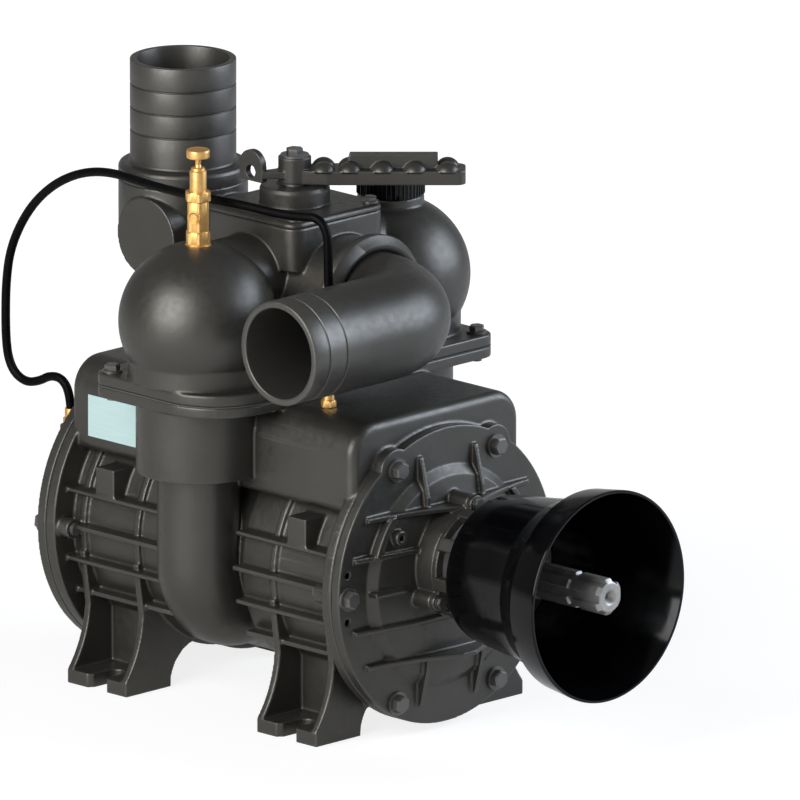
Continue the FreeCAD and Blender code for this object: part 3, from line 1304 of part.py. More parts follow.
def pto_guard():
    body = body_at("pto_guard", (0, 0, d.shaft_height))
    wall = d.guard_wall
    turned_along(body, [
        (-d.guard_start, d.cap_radius + 0.3), (-d.guard_start, d.guard_rear_radius),
        (-d.guard_waist, d.guard_waist_radius), (-d.guard_step, d.guard_step_radius),
        (-d.guard_band, d.guard_band_radius), (-d.guard_mouth, d.guard_mouth_radius),
        (-d.guard_mouth, d.guard_mouth_radius - wall), (-d.guard_band, d.guard_band_radius - wall),
        (-d.guard_step, d.guard_step_radius - wall), (-d.guard_waist, d.guard_waist_radius - wall),
        (-d.guard_start - wall, d.guard_rear_radius - wall),
        (-d.guard_start - wall, d.cap_radius + 0.3)])
    holes = sketch_on(body, "XZ_Plane", d.guard_start)
    for x, z in guard_screw_places():
        circle(holes, d.guard_screw_radius + d.hole_gap, x, z)
    pocket(body, holes)
    keep(body, "pto_guard")
    group("guard_screws", [moved(cap_screw(d.guard_screw_radius, d.guard_wall + d.guard_screw_grip),
                                 (x, -d.guard_start - d.guard_wall, d.shaft_height + z), -Y)
                           for x, z in guard_screw_places()])


# Oil pump at the rear

def gear_centres():
    return d.gear_module * d.gear_teeth


def gear_outline(teeth, module, backlash, turn):
    """Involute-like gear profile as a wire about the origin, in the plane across Y."""
    pitch_radius = module * teeth / 2
    base_radius = pitch_radius * math.cos(math.radians(20))
    tip_radius = pitch_radius + 0.9 * module
    root_radius = pitch_radius - 1.15 * module
    half_tooth = math.pi / (2 * teeth) - backlash / pitch_radius
    involute = math.tan(math.radians(20)) - math.radians(20)

    def flank(radius):
        """Half angle of a tooth at a radius."""
        radius = max(radius, base_radius)
        pressure = math.acos(min(base_radius / radius, 1))
        return half_tooth + involute - (math.tan(pressure) - pressure)
    radii = [root_radius, base_radius, (base_radius + tip_radius) / 2, tip_radius]
    points = []
    for tooth in range(teeth):
        middle = 2 * math.pi * tooth / teeth + turn
        for radius in radii:
            angle = middle - flank(radius)
            points.append(FreeCAD.Vector(radius * math.cos(angle), 0, radius * math.sin(angle)))
        for radius in reversed(radii):
            angle = middle + flank(radius)
            points.append(FreeCAD.Vector(radius * math.cos(angle), 0, radius * math.sin(angle)))
    return Part.makePolygon(points + points[:1])


def oil_gear(node, bore, centre_drop, turn):
    teeth, module = int(d.gear_teeth.number), float(d.gear_module)
    wire = gear_outline(teeth, module, float(d.gear_backlash), turn)
    start = float(d.oil_body_face - d.gear_width)
    face = Part.Face(wire)
    face.translate(Y * start)
    width = float(d.gear_width - d.gear_face_gap)
    gear = face.extrude(Y * width)
    gear = gear.cut(Part.makeCylinder(float(bore), width + 2, FreeCAD.Vector(0, start - 1, 0), Y))
    keep(feature(node, gear, (0, 0, d.shaft_height - centre_drop)), node)


def oil_screw_places():
    """Six screw places round the shaft."""
    angles = [math.radians(60 * k) for k in range(6)]
    return [(d.oil_screw_circle * math.cos(a), d.oil_screw_circle * math.sin(a)) for a in angles]


def oil_pump():
    start, face = d.hub_face, d.oil_body_face
    tip = d.gear_module * (d.gear_teeth / 2 + 0.9) + d.gear_room_gap
    pin_start = face - d.gear_width - d.idler_pin_depth
    shell = fuse("oil_body_solid", [
        cylinder("oil_body_disc", d.hub_radius, face - start, (0, start, d.shaft_height), Y),
        cylinder("oil_feed_boss", d.feed_radius, d.feed_top - d.shaft_height,
                 (d.feed_x, d.feed_y, d.shaft_height))])
    low = d.shaft_height - gear_centres()
    cuts = [cylinder("oil_gear_room", tip, d.gear_width + 1, (0, face - d.gear_width, d.shaft_height), Y),
            cylinder("oil_idler_room", tip, d.gear_width + 1, (0, face - d.gear_width, low), Y),
            cylinder("oil_shaft_hole", d.bearing_bore_radius + d.hole_gap, 4,
                      (0, start - 1, d.shaft_height), Y),
            cylinder("oil_neck_hole", d.gear_shaft_radius + d.running_gap, face - start,
                     (0, start, d.shaft_height), Y),
            cylinder("oil_pin_hole", d.idler_pin_radius, d.idler_pin_depth + 1, (0, pin_start, low), Y),
            cylinder("oil_feed_hole", d.fitting_thread_radius + d.hole_gap, 2 * d.fitting_thread_length,
                     (d.feed_x, d.feed_y, d.feed_top - d.fitting_thread_length - 1))]
    cuts += [cylinder(f"oil_body_hole_{k}", d.oil_screw_radius + d.hole_gap, face - start + 2,
                      (x, start - 1, d.shaft_height + z), Y) for k, (x, z) in enumerate(oil_screw_places())]
    keep(cut("oil_pump_body", shell, cuts), "oil_pump_body")
    cover_disc = cylinder("oil_cover_disc", d.hub_radius, d.oil_cover_thick, (0, face, d.shaft_height), Y)
    holes = [cylinder(f"oil_cover_hole_{k}", d.oil_screw_radius + d.hole_gap, d.oil_cover_thick + 2,
                      (x, face - 1, d.shaft_height + z), Y) for k, (x, z) in enumerate(oil_screw_places())]
    keep(cut("oil_pump_cover", cover_disc, holes), "oil_pump_cover")
    grip = d.oil_cover_thick + face - start + d.oil_screw_grip
    group("oil_pump_screws", [moved(cap_screw(d.oil_screw_radius, grip),
                                    (x, face + d.oil_cover_thick, d.shaft_height + z), Y)
                              for x, z in oil_screw_places()])
    half_pitch = math.pi / d.gear_teeth.number
    oil_gear("oil_drive_gear", d.gear_shaft_radius, sized(0), -math.pi / 2)
    oil_gear("oil_idler_gear", d.idler_pin_radius + d.running_gap, gear_centres(), math.pi / 2 + half_pitch)
    keep(cylinder("oil_idler_pin", d.idler_pin_radius, face - pin_start - d.gear_face_gap,
                  (0, pin_start, low), Y), "oil_idler_pin")


# Manifold with the four-way valve

def manifold_gasket():
    body = body_at("manifold_gasket", (0, 0, d.top_face))
    pad(body, top_outline(sketch_on(body, "XY_Plane")), d.top_gasket_thick)
    holes = sketch_on(body, "XY_Plane")
    for side in (-1, 1):
        circle(holes, d.port_duct_radius, side * d.port_offset, 0)
    for x, y in manifold_bolt_places():
        circle(holes, d.top_bolt_radius + d.hole_gap, x, y)
    pocket(body, holes)
    keep(body, "manifold_gasket")


def manifold():
    flange = body_at("manifold_flange", (0, 0, manifold_face))
    pad(flange, top_outline(sketch_on(flange, "XY_Plane")), d.manifold_flange_thick)
    head = body_at("valve_head", (0, 0, d.block_bottom))
    head_outline = rounded_rectangle(d.block_half, d.block_half, d.block_round)
    pad(head, outline(sketch_on(head, "XY_Plane"), head_outline), d.block_top - d.block_bottom)
    rear_at = (0, d.rear_offset, d.rear_round_height)
    rear_bottom = ball("rear_bottom", d.rear_radius, rear_at)
    rear_bottom.Angle2 = 0
    pieces = [flange, head, rear_bottom,
              cylinder("rear_housing", d.rear_radius, d.rear_top - d.rear_round_height, rear_at),
              cylinder("valve_barrel", d.valve_barrel_radius, d.block_bottom - d.valve_barrel_bottom + 1,
                       (0, 0, d.valve_barrel_bottom)),
              cylinder("side_necks", d.side_neck_radius, 2 * d.port_offset - 40,
                       (20 - d.port_offset, 0, d.side_neck_height), X),
              cylinder("front_neck", d.front_neck_radius, d.collar_face - d.block_half / 2,
                       (0, -d.collar_face, d.neck_height), Y),
              cylinder("front_collar", d.collar_radius, d.collar_thick,
                       (0, -d.collar_face, d.neck_height), Y),
              cylinder("rear_neck", d.neck_radius, d.rear_offset - 20, (0, 0, d.rear_neck_height), Y),
              cylinder("rear_disc", d.rear_disc_radius, d.rear_disc_face,
                       (-d.rear_disc_face, d.rear_disc_offset, d.rear_disc_height), X)]
    for side in (-1, 1):
        name = "right" if side > 0 else "left"
        at = (side * d.port_offset, 0, d.dome_height)
        pieces.append(ball(f"dome_{name}", d.dome_radius, at))
        pieces.append(cylinder(f"dome_foot_{name}", d.dome_foot_radius, d.dome_height - manifold_top - 30,
                               (side * d.port_offset, 0, manifold_top)))
    pieces.append(cylinder("filler_neck", d.filler_neck_radius, d.filler_neck_top - d.dome_height,
                           (d.port_offset, 0, d.dome_height)))
    pieces.append(cylinder("lubricator_pad", d.lubricator_washer_radius + 2,
                           d.lubricator_base - d.dome_height, (-d.port_offset, 0, d.dome_height)))
    solid = fuse("manifold_solid", pieces)

    room = d.dome_radius - d.dome_wall
    below = d.top_half_length + d.dome_radius
    cuts = [cylinder("valve_bore", d.valve_bore_radius, d.block_top - d.valve_floor + 1,
                     (0, 0, d.valve_floor)),
            cylinder("side_passage", d.side_duct_radius, 2 * d.port_offset,
                     (-d.port_offset, 0, d.side_neck_height), X),
            cylinder("front_passage", d.neck_duct_radius, d.collar_face + 1,
                     (0, -d.collar_face - 1, d.neck_height), Y),
            cylinder("spigot_seat", d.neck_duct_radius + d.spigot_thick, d.spigot_length + d.seal_groove + 1,
                     (0, -d.collar_face - 1, d.neck_height), Y),
            cylinder("rear_passage", d.rear_duct_radius, d.rear_offset, (0, 0, d.rear_neck_height), Y),
            ball("rear_floor", d.rear_radius - d.rear_wall, rear_at),
            cylinder("rear_room", d.rear_radius - d.rear_wall, d.rear_top - d.rear_round_height + 1, rear_at),
            cylinder("cage_room", d.cage_radius + d.cage_gap, d.seat_thick + cage_post_length,
                     (d.port_offset, 0, manifold_face)),
            cylinder("filler_bore", d.filler_bore_radius, d.filler_neck_top - d.dome_height + 1,
                     (d.port_offset, 0, d.dome_height)),
            cylinder("lubricator_spot", d.lubricator_washer_radius + 1, 20,
                     (-d.port_offset, 0, d.lubricator_base)),
            block("below_manifold", (2 * below, 2 * below, d.dome_radius),
                  (-below, -below, manifold_face - d.dome_radius)),
            cylinder("lubricator_hole", d.fitting_thread_radius + d.hole_gap, 30,
                     (-d.port_offset, 0, d.lubricator_base - 29))]
    for side in (-1, 1):
        name = "right" if side > 0 else "left"
        cuts.append(ball(f"dome_room_{name}", room, (side * d.port_offset, 0, d.dome_height)))
        cuts.append(cylinder(f"dome_inlet_{name}", d.port_duct_radius, d.dome_height - manifold_face + 1,
                             (side * d.port_offset, 0, manifold_face - 1)))
    for index, (x, y) in enumerate(manifold_bolt_places()):
        cuts.append(cylinder(f"manifold_hole_{index}", d.top_bolt_radius + d.hole_gap,
                             d.manifold_flange_thick + 2, (x, y, manifold_face - 1)))
    for index, (x, y) in enumerate(valve_bolt_places()):
        depth = d.valve_bolt_grip + 3
        cuts.append(cylinder(f"head_hole_{index}", d.valve_bolt_radius + d.hole_gap, depth + 1,
                             (x, y, d.block_top - depth)))
    keep(cut("manifold", solid, cuts), "manifold")
    group("manifold_bolts", [moved(hex_bolt(d.top_bolt_radius, d.manifold_flange_thick + d.top_bolt_grip),
                                   (x, y, manifold_top)) for x, y in manifold_bolt_places()])


def valve_bolt_places():
    offset = d.valve_bolt_offset
    return [(offset, offset), (-offset, offset), (-offset, -offset), (offset, -offset)]


def valve_cover():
    """Square plate with rounded upper edge and a ring boss that holds the stem seal."""
    plate_top = d.block_top + d.valve_cover_thick
    body = body_at("valve_cover", (0, 0, d.block_top))
    plate = pad(body, outline(sketch_on(body, "XY_Plane"),
                              rounded_rectangle(d.block_half, d.block_half, d.block_round)),
                d.valve_cover_thick)
    doc.recompute()
    top = float(d.valve_cover_thick)
    edges = [f"Edge{k + 1}" for k, edge in enumerate(plate.Shape.Edges)
             if abs(edge.BoundBox.ZMin - top) < 0.01]
    rounding = body.newObject("PartDesign::Fillet", "valve_cover_edges")
    rounding.Base = (plate, edges)
    tie(rounding, "Radius", d.valve_cover_edge)
    body.Tip = rounding
    boss_top = d.valve_boss_top - d.block_top
    bevel = d.valve_boss_bevel
    turned_upright(body, [(0, d.valve_cover_thick - 1), (d.valve_boss_radius, d.valve_cover_thick - 1),
                          (d.valve_boss_radius, boss_top - bevel),
                          (d.valve_boss_radius - bevel / 2, boss_top), (0, boss_top)])
    holes = sketch_on(body, "XY_Plane")
    circle(holes, d.stem_radius + d.running_gap)
    for x, y in valve_bolt_places():
        circle(holes, d.valve_bolt_radius + d.hole_gap, x, y)
    pocket(body, holes)
    seat = sketch_on(body, "XY_Plane", boss_top)
    pocket(body, circle(seat, d.stem_radius + d.stem_seal_width), d.stem_seal_depth)
    keep(body, "valve_cover")
    group("valve_cover_bolts", [moved(hex_bolt(d.valve_bolt_radius, d.valve_cover_thick + d.valve_bolt_grip),
                                      (x, y, plate_top)) for x, y in valve_bolt_places()])
    seal = body_at("valve_stem_seal", (0, 0, d.valve_boss_top))
    inner, outer = d.stem_radius + d.running_gap, d.stem_radius + d.stem_seal_width
    turned_upright(seal, [(inner, -d.stem_seal_depth), (outer, -d.stem_seal_depth),
                          (outer, -d.stem_seal_sink), (inner, -d.stem_seal_sink)])
    keep(seal, "valve_stem_seal")


def valve_plug():
    """Drum with two side rooms, which joins the four passages in pairs."""
    turn = FreeCAD.Rotation(Z, d.handle_rest_angle.number + 45)
    body = body_at("valve_plug", (0, 0, 0), turn)
    radius = d.valve_bore_radius - d.running_gap
    low, high = d.valve_floor + 0.3, d.block_top - 0.3
    turned_upright(body, [(0, low), (radius, low), (radius, high), (d.stem_radius, high),
                          (d.stem_radius, d.handle_bottom), (0, d.handle_bottom)])
    square = sketch_on(body, "XY_Plane", d.handle_bottom)
    point = d.stem_square * root(sized(0.5))
    outline(square, [(-point, 0), (0, -point), (point, 0), (0, point)])
    pad(body, square, d.handle_hub_top - d.handle_bottom - 1)
    rooms = sketch_on(body, "XY_Plane", low + d.plug_disc)
    web = d.plug_web / 2
    far = radius + 5
    neck, half, rim = d.plug_room_neck, d.plug_room_half, d.plug_room_rim
    for side in (-1, 1):
        outline(rooms, [(side * web, -neck), (side * rim, -half), (side * far, -half),
                        (side * far, half), (side * rim, half), (side * web, neck)])
    pocket(body, rooms, high - low - 2 * d.plug_disc, reverse=True)
    bolt_hole = sketch_on(body, "XY_Plane", d.handle_hub_top)
    pocket(body, circle(bolt_hole, d.handle_bolt_radius + d.running_gap), d.plug_bolt_depth)
    keep(body, "valve_plug")


def valve_handle():
    """Lever with hub, two rows of bumps, upright web, and a flat tail that carries a lug with a hole."""
    turn = FreeCAD.Rotation(Z, d.handle_rest_angle.number)
    body = body_at("valve_handle", (0, 0, 0), turn)
    half, length, end_round = d.handle_half_width, d.handle_length, d.handle_end_round
    lever = sketch_on(body, "XY_Plane", d.handle_bottom)
    neck = d.handle_hub_radius - 2
    outline(lever, [(0, -neck), (d.handle_shoulder, -half), (length - end_round, -half),
                    (length, end_round - half, end_round), (length, half - end_round),
                    (length - end_round, half, end_round), (d.handle_shoulder, half), (0, neck)])
    pad(body, lever, d.handle_thick)
    tail = sketch_on(body, "XY_Plane", d.handle_bottom + d.tail_rise)
    outline(tail, [beside_lug(d.lug_radius), (d.handle_shoulder, -d.tail_half_width),
                   (d.handle_shoulder, d.tail_half_width), (0, d.tail_half_width),
                   beside_lug(d.lug_hole_radius + d.tail_gap)])
    pad(body, tail, d.tail_thick)
    hub = sketch_on(body, "XY_Plane", d.handle_bottom)
    pad(body, circle(hub, d.handle_hub_radius), d.handle_hub_top - d.handle_bottom)
    web = sketch_on(body, "XZ_Plane")
    base = d.handle_bottom + d.handle_thick - 1
    outline(web, [(d.handle_web_start - d.handle_web_slope, base), (d.handle_web_end, base),
                  (d.handle_web_end, d.handle_web_top), (d.handle_web_start, d.handle_web_top)])
    pad(body, web, d.handle_web_thick, symmetric=True)
    square = sketch_on(body, "XY_Plane", d.handle_bottom)
    side = d.stem_square / 2
    outline(square, [(-side, -side), (side, -side), (side, side), (-side, side)])
    pocket(body, square)
    keep(fuse("valve_handle_piece", [body, handle_lug()] + handle_bumps(turn)), "valve_handle")
    washer = body_at("handle_washer", (0, 0, d.handle_hub_top))
    bore, rim = d.handle_bolt_radius + d.hole_gap, d.handle_hub_radius - 2
    turned_upright(washer, [(bore, 0), (rim, 0), (rim, d.handle_washer_thick), (bore, d.handle_washer_thick)])
    keep(washer, "handle_washer")
    group("handle_bolt", [moved(hex_bolt(d.handle_bolt_radius, d.handle_bolt_grip, washer=False),
                                (0, 0, d.handle_hub_top + d.handle_washer_thick))])


def beside_lug(away):
    """Corner of the tail on the far face of the lug, at a distance from the middle of the lug."""
    slant = root(sized(0.5))
    return (away - d.lug_thick / 2) * slant - d.lug_offset, -(away + d.lug_thick / 2) * slant


def handle_lug():
    """Upright plate across the end of the tail, turned so that it faces the left side at rest."""
    reach = d.lug_offset * root(sized(0.5))
    lug = body_at("handle_lug", (-reach, reach, 0))
    side = sketch_on(lug, "YZ_Plane")
    across = d.lug_radius
    outline(side, [(-across, d.handle_bottom + 1), (across, d.handle_bottom + 1), (across, d.lug_height),
                   (-across, d.lug_height, across + 0.001)])
    pad(lug, side, d.lug_thick, symmetric=True)
    hole = sketch_on(lug, "YZ_Plane")
    pocket(lug, circle(hole, d.lug_hole_radius, 0, d.lug_height - d.lug_hole_drop))
    return lug


def handle_bumps(turn):
    """Two rows of round bumps on the lever: four at a pitch from its end, one beside the hub."""
    top = d.handle_bottom + d.handle_thick
    rise = d.handle_bump_rise
    sphere = (d.handle_bump_radius * d.handle_bump_radius / rise + rise) / 2
    along = [d.handle_bump_inner] + [d.handle_bump_outer - k * d.handle_bump_pitch for k in range(4)]
    bumps = []
    for side in (-1, 1):
        for index, distance in enumerate(along):
            at = turn.multVec(FreeCAD.Vector(float(distance), side * float(d.handle_bump_spread), 0))
            cap = ball(f"bump_{side + 1}_{index}", sphere, (at.x, at.y, top + rise - sphere))
            cap.Angle1 = math.degrees(math.asin(float(1 - (rise + 1) / sphere)))
            bumps.append(cap)
    return bumps


# Exhaust elbow and hose connector

def exhaust_elbow():
    name = "exhaust_elbow"
    at_z = d.neck_height
    bend = d.exhaust_bend
    centre_x, centre_y = -bend, bend - d.exhaust_axis
    flange_front = -d.collar_face - d.collar_thick

    def tube(label, radius, beyond):
        return [
            cylinder(f"{label}_mouth", radius, d.exhaust_mouth + centre_x + beyond,
                     (-d.exhaust_mouth - beyond, -d.exhaust_axis, at_z), X),
            quarter_bend(f"{label}_bend", bend, radius, (centre_x, centre_y, at_z), -Y, X),
            cylinder(f"{label}_neck", radius, -d.collar_face - centre_y + beyond, (0, centre_y, at_z), Y)]
    spigot_radius = d.neck_duct_radius + d.spigot_thick - d.running_gap
    outer = tube("elbow", d.exhaust_radius, sized(0))
    outer.append(cylinder("elbow_flange", d.collar_radius, d.collar_thick, (0, flange_front, at_z), Y))
    outer.append(cylinder("elbow_spigot", spigot_radius, d.collar_thick + d.spigot_length,
                          (0, flange_front, at_z), Y))
    inner = tube("elbow_bore", d.exhaust_radius - d.exhaust_wall, sized(1))
    neck_length = d.spigot_length - d.collar_face - centre_y + 1
    inner = inner[:2] + [cylinder("elbow_bore_neck", d.neck_duct_radius, neck_length, (0, centre_y, at_z), Y)]
    keep(cut(name, fuse("elbow_solid", outer), inner), name)


def hose_connector():
    """Flanged connector with a stepped tail for the suction hose."""
    body = body_at("hose_connector", (0, d.rear_offset, 0))
    outer, inner = d.hose_radius, d.hose_radius - d.hose_wall
    foot_top = d.rear_top + d.connector_flange
    small = outer - d.barb_depth
    profile = [(inner, d.rear_top), (d.rear_radius, d.rear_top), (d.rear_radius, foot_top - 4),
               (d.rear_radius - 4, foot_top, 4), (outer, foot_top)]
    for index in (3, 2, 1):
        step = d.hose_rim - index * d.barb_pitch
        profile += [(outer, step - 1.5), (small, step - 1), (small, step), (outer, step + 0.5)]
    profile += [(outer, d.hose_rim), (inner, d.hose_rim)]
    turned_upright(body, profile)
    keep(body, "hose_connector")


def check_valve():
    """Ball in a cage over the outlet column; it lifts with the air and falls back when the pump stops."""
    at = (d.port_offset, 0, manifold_face)
    cage = body_at("check_cage", at)
    ring = sketch_on(cage, "XY_Plane")
    circle(ring, d.cage_radius)
    circle(ring, d.seat_bore_radius)
    pad(cage, ring, d.seat_thick)
    posts = sketch_on(cage, "XY_Plane", d.seat_thick)
    half = d.cage_post_width / 2
    inner, outer = (d.cage_radius - d.cage_wall), d.cage_radius
    near, far = root(inner * inner - half * half), root(outer * outer - half * half)
    outline(posts, [(near, -half, -inner), (far, -half), (far, half, outer), (near, half)])
    post = pad(cage, posts, cage_post_length)
    round_pattern(cage, post, "Z_Axis", d.cage_post_count)
    keep(cage, "check_cage")
    plate = body_at("cage_plate", (d.port_offset, 0, manifold_face + d.seat_thick + cage_post_length))
    turned_upright(plate, [(d.cage_plate_bore, 0), (d.cage_radius, 0), (d.cage_radius, d.cage_plate_thick),
                           (d.cage_plate_bore, d.cage_plate_thick)])
    keep(plate, "cage_plate")
    keep(ball("check_ball", d.ball_radius, (d.port_offset, 0, ball_height)), "check_ball")


# Oil filler, lubricator, oil hose

def filler_cap():
    body = body_at("oil_filler_cap", (d.port_offset, 0, d.filler_neck_top))
    top = d.filler_top - d.filler_neck_top
    plug = d.filler_bore_radius - d.filler_plug_gap
    turned_upright(body, [(0, -d.filler_plug_length), (plug, -d.filler_plug_length), (plug, 0),
                          (d.filler_radius, 0), (d.filler_radius, top - d.filler_bevel),
                          (d.filler_radius - d.filler_bevel, top), (0, top)])
    groove = sketch_on(body, "XY_Plane", top)
    gap = pocket(body, circle(groove, d.knurl_radius, d.filler_radius + d.knurl_offset, 0),
                 top - d.filler_bevel)
    round_pattern(body, gap, "Z_Axis", d.knurl_count)
    keep(body, "oil_filler_cap")


def lubricator():
    base = d.lubricator_base
    at = (-d.port_offset, 0, base)
    thread = d.fitting_thread_radius
    body = body_at("lubricator_turned", at)
    r1, r2 = d.lubricator_radius, d.lubricator_upper_radius
    stem = d.lubricator_stem_base - base
    turned_upright(body, [(0, -7), (thread, -7), (thread, 0), (d.lubricator_washer_radius, 0),
                          (d.lubricator_washer_radius, 2), (r1, 2), (r1, 40), (r2, 43), (r2, 70),
                          (r2 - 2, 74), (d.lubricator_stem_radius + 1, stem), (0, stem)])
    sight = sketch_on(body, "YZ_Plane")
    pocket(body, circle(sight, d.sight_radius, 0, d.sight_height - base))
    hexes = [feature("lubricator_base_hex", hex_prism(d.lubricator_hex, 12.5, Z * 2), at),
             feature("lubricator_collar_hex", hex_prism(d.lubricator_collar_hex, 12.5, Z * 41), at)]
    keep(fuse("lubricator", [body] + hexes), "lubricator_body")
    keep(cylinder("lubricator_glass", d.sight_radius, 2 * d.lubricator_radius - 1.5,
                  (0.75 - d.lubricator_radius - d.port_offset, 0, d.sight_height), X), "lubricator_glass")
    knob = body_at("lubricator_knob", (-d.port_offset, 0, 0))
    low = d.lubricator_stem_base
    turned_upright(knob, [(0, low), (d.lubricator_stem_radius, low),
                          (d.lubricator_stem_radius, d.knob_bottom),
                          (d.knob_radius, d.knob_bottom), (d.knob_radius, d.knob_top - 3),
                          (d.knob_radius - 3, d.knob_top), (0, d.knob_top)])
    keep(knob, "lubricator_knob")


def oil_fitting(node, at):
    """Hexagon with thread below and hose tail above; the hose pushes onto its face."""
    body = body_at(f"{node}_turned", at)
    thread = d.fitting_thread_radius
    tail = d.fitting_tail_radius
    turned_upright(body, [(0, -d.fitting_thread_length), (thread, -d.fitting_thread_length), (thread, 0),
                          (d.fitting_hex / 2, 0), (d.fitting_hex / 2, d.fitting_hex_height),
                          (tail, d.fitting_hex_height), (tail, d.fitting_length), (0, d.fitting_length)])
    hexagon = feature(f"{node}_hex", hex_prism(d.fitting_hex, d.fitting_hex_height), at)
    keep(fuse(f"{node}_piece", [body, hexagon]), node)


# Route of the oil hose, from the casing fitting over the manifold to the rear cover
HOSE_POINTS = [
    (-70.0, -115.5, 370.5),
    (-71.0, -116.0, 431.5),
    (-71.5, -115.5, 489.5),
    (-80.0, -74.0, 484.5),
    (-90.0, -18.0, 488.0),
    (-94.0, 24.5, 487.5),
    (-92.0, 62.0, 485.5),
    (-86.5, 116.0, 484.5),
    (-80.0, 162.5, 485.0),
    (-77.0, 203.0, 477.5),
    (-75.0, 240.0, 461.0),
    (-72.5, 272.0, 437.0),
    (-70.0, 296.0, 408.5),
    (-68.0, 312.0, 378.5),
    (-66.0, 319.0, 347.5),
    (-63.5, 322.5, 316.5),
    (-61.5, 324.0, 292.0),
    (-60.2, 322.5, 272.5),
    (-59.0, 315.0, 258.5),
    (-57.6, 300.5, 252.0),
    (-56.2, 284.5, 256.0),
    (-55.2, 271.5, 263.5),
    (-54.1, 256.5, 263.5),
    (-52.8, 247.5, 251.0),
]


def hose_route():
    start = FreeCAD.Vector(float(d.fitting_x), float(d.fitting_y), float(d.upper_box_top + d.fitting_length))
    end = FreeCAD.Vector(float(d.feed_x), float(d.feed_y), float(d.feed_top + d.fitting_length))
    return [start] + [FreeCAD.Vector(*point) for point in HOSE_POINTS] + [end]


def rounded_path(points):
    """Straight runs joined by tangent arcs, each as large as its two runs allow."""
    edges = []
    radii = []
    reached = points[0]
    for before, corner, after in zip(points, points[1:], points[2:]):
        inward, outward = (corner - before), (after - corner)
        shorter = min(inward.Length, outward.Length)
        turn = inward.getAngle(outward)
        trim = 0.45 * shorter
        radii.append(trim / math.tan(turn / 2))
        inward.normalize()
        outward.normalize()
        begin = corner - inward * trim
        finish = corner + outward * trim
        toward = (outward - inward)
        toward.normalize()
        centre_distance = math.hypot(trim, radii[-1])
        middle = corner + toward * (centre_distance - radii[-1])
        edges.append(Part.LineSegment(reached, begin).toShape())
        edges.append(Part.Arc(begin, middle, finish).toShape())
        reached = finish
    edges.append(Part.LineSegment(reached, points[-1]).toShape())
    return Part.Wire(edges), radii


def oil_hose():
    points = hose_route()
    path, radii = rounded_path(points)
    radius = float(d.hose_tube_radius)
    section = Part.Wire(Part.makeCircle(radius, points[0], points[1] - points[0]))
    tube = path.makePipeShell([section], True, False)
    print("hose length", round(path.Length, 1), "radii", [round(value, 1) for value in radii])
    print("hose volume", round(tube.Volume), "of", round(math.pi * radius ** 2 * path.Length))
    keep(feature("oil_hose", tube), "oil_hose")


def elbow_seal():
    body = body_at("elbow_seal", (0, 0, d.neck_height))
    spigot = d.neck_duct_radius
    end = d.collar_face - d.spigot_length
    outer = spigot + d.spigot_thick - d.running_gap
    turned_along(body, tube_profile(spigot, outer, -end, d.seal_groove - end))
    keep(body, "elbow_seal")


def write_parts():
    doc.recompute()
    failed = [obj.Name for obj in doc.Objects if "Invalid" in obj.State or "Error" in obj.State]
    for node, obj in nodes:
        shape = obj.Shape
        if shape.isNull() or not shape.isValid() or shape.Volume <= 0:
            failed.append(node)
    if failed:
        raise RuntimeError("failed: " + ", ".join(failed))
    os.makedirs("parts", exist_ok=True)
    for node, obj in nodes:
        obj.Shape.exportStep(f"parts/{node}.step")
    print(len(nodes), "nodes written")


def main():
    pump_casing()
    name_plate()
    for side in (-1, 1):
        cover_gasket(side)
        cover(side)
        cover_bolts(side)
        bearing(side)
        shaft_seal(side)
    rotor_shaft()
    rotor_key()
    rotor()
    vanes()
    bearing_cap()
    guard_ring()
    pto_guard()
    oil_pump()
    manifold_gasket()
    manifold()
    valve_cover()
    valve_plug()
    valve_handle()
    exhaust_elbow()
    elbow_seal()
    hose_connector()
    check_valve()
    filler_cap()
    lubricator()
    oil_fitting("oil_fitting_front", (d.fitting_x, d.fitting_y, d.upper_box_top))
    oil_fitting("oil_fitting_rear", (d.feed_x, d.feed_y, d.feed_top))
    oil_hose()
    write_parts()


main()
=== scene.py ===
"""Looks, camera and light for a rotary vane vacuum pump with four-way valve and splined drive shaft."""
import json
import math

import bmesh
import bpy
from mathutils import Matrix, Vector


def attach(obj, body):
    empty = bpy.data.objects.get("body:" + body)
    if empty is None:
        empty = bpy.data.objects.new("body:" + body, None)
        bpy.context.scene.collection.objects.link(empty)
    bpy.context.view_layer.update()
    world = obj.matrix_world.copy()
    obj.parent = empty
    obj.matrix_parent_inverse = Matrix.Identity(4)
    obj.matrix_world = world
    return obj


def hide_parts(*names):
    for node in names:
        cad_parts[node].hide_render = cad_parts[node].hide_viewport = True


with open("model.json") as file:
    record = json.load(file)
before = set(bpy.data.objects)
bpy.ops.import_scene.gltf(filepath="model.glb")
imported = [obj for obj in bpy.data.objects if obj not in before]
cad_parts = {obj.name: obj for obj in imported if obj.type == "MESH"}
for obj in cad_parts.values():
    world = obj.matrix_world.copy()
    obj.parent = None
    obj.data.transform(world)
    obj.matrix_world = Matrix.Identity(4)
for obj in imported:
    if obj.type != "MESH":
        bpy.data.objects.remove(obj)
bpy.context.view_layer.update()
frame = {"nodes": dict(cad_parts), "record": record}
scene = bpy.context.scene
MM = 0.001

# Main places in millimetres: height above the feet, distance from the middle between them
SHAFT_HEIGHT = 166.3
CASING_HEIGHT = 148.2
PORT_OFFSET = 127.0
REAR_OFFSET = 148.4
SHAFT_AXIS = (0, 0, SHAFT_HEIGHT)
TO_TRACTOR = (0, -1, 0)
TO_REAR = (0, 1, 0)


# Camera: seen from the left of the drive shaft, slightly from above

CAMERA_AZIMUTH = math.radians(-45.0)
CAMERA_ELEVATION = math.radians(14.6)
CAMERA_LENS = 1600.0
CAMERA_DISTANCE = 33.386
LOOK_RIGHT = 0.0985
LOOK_UP = 0.2704


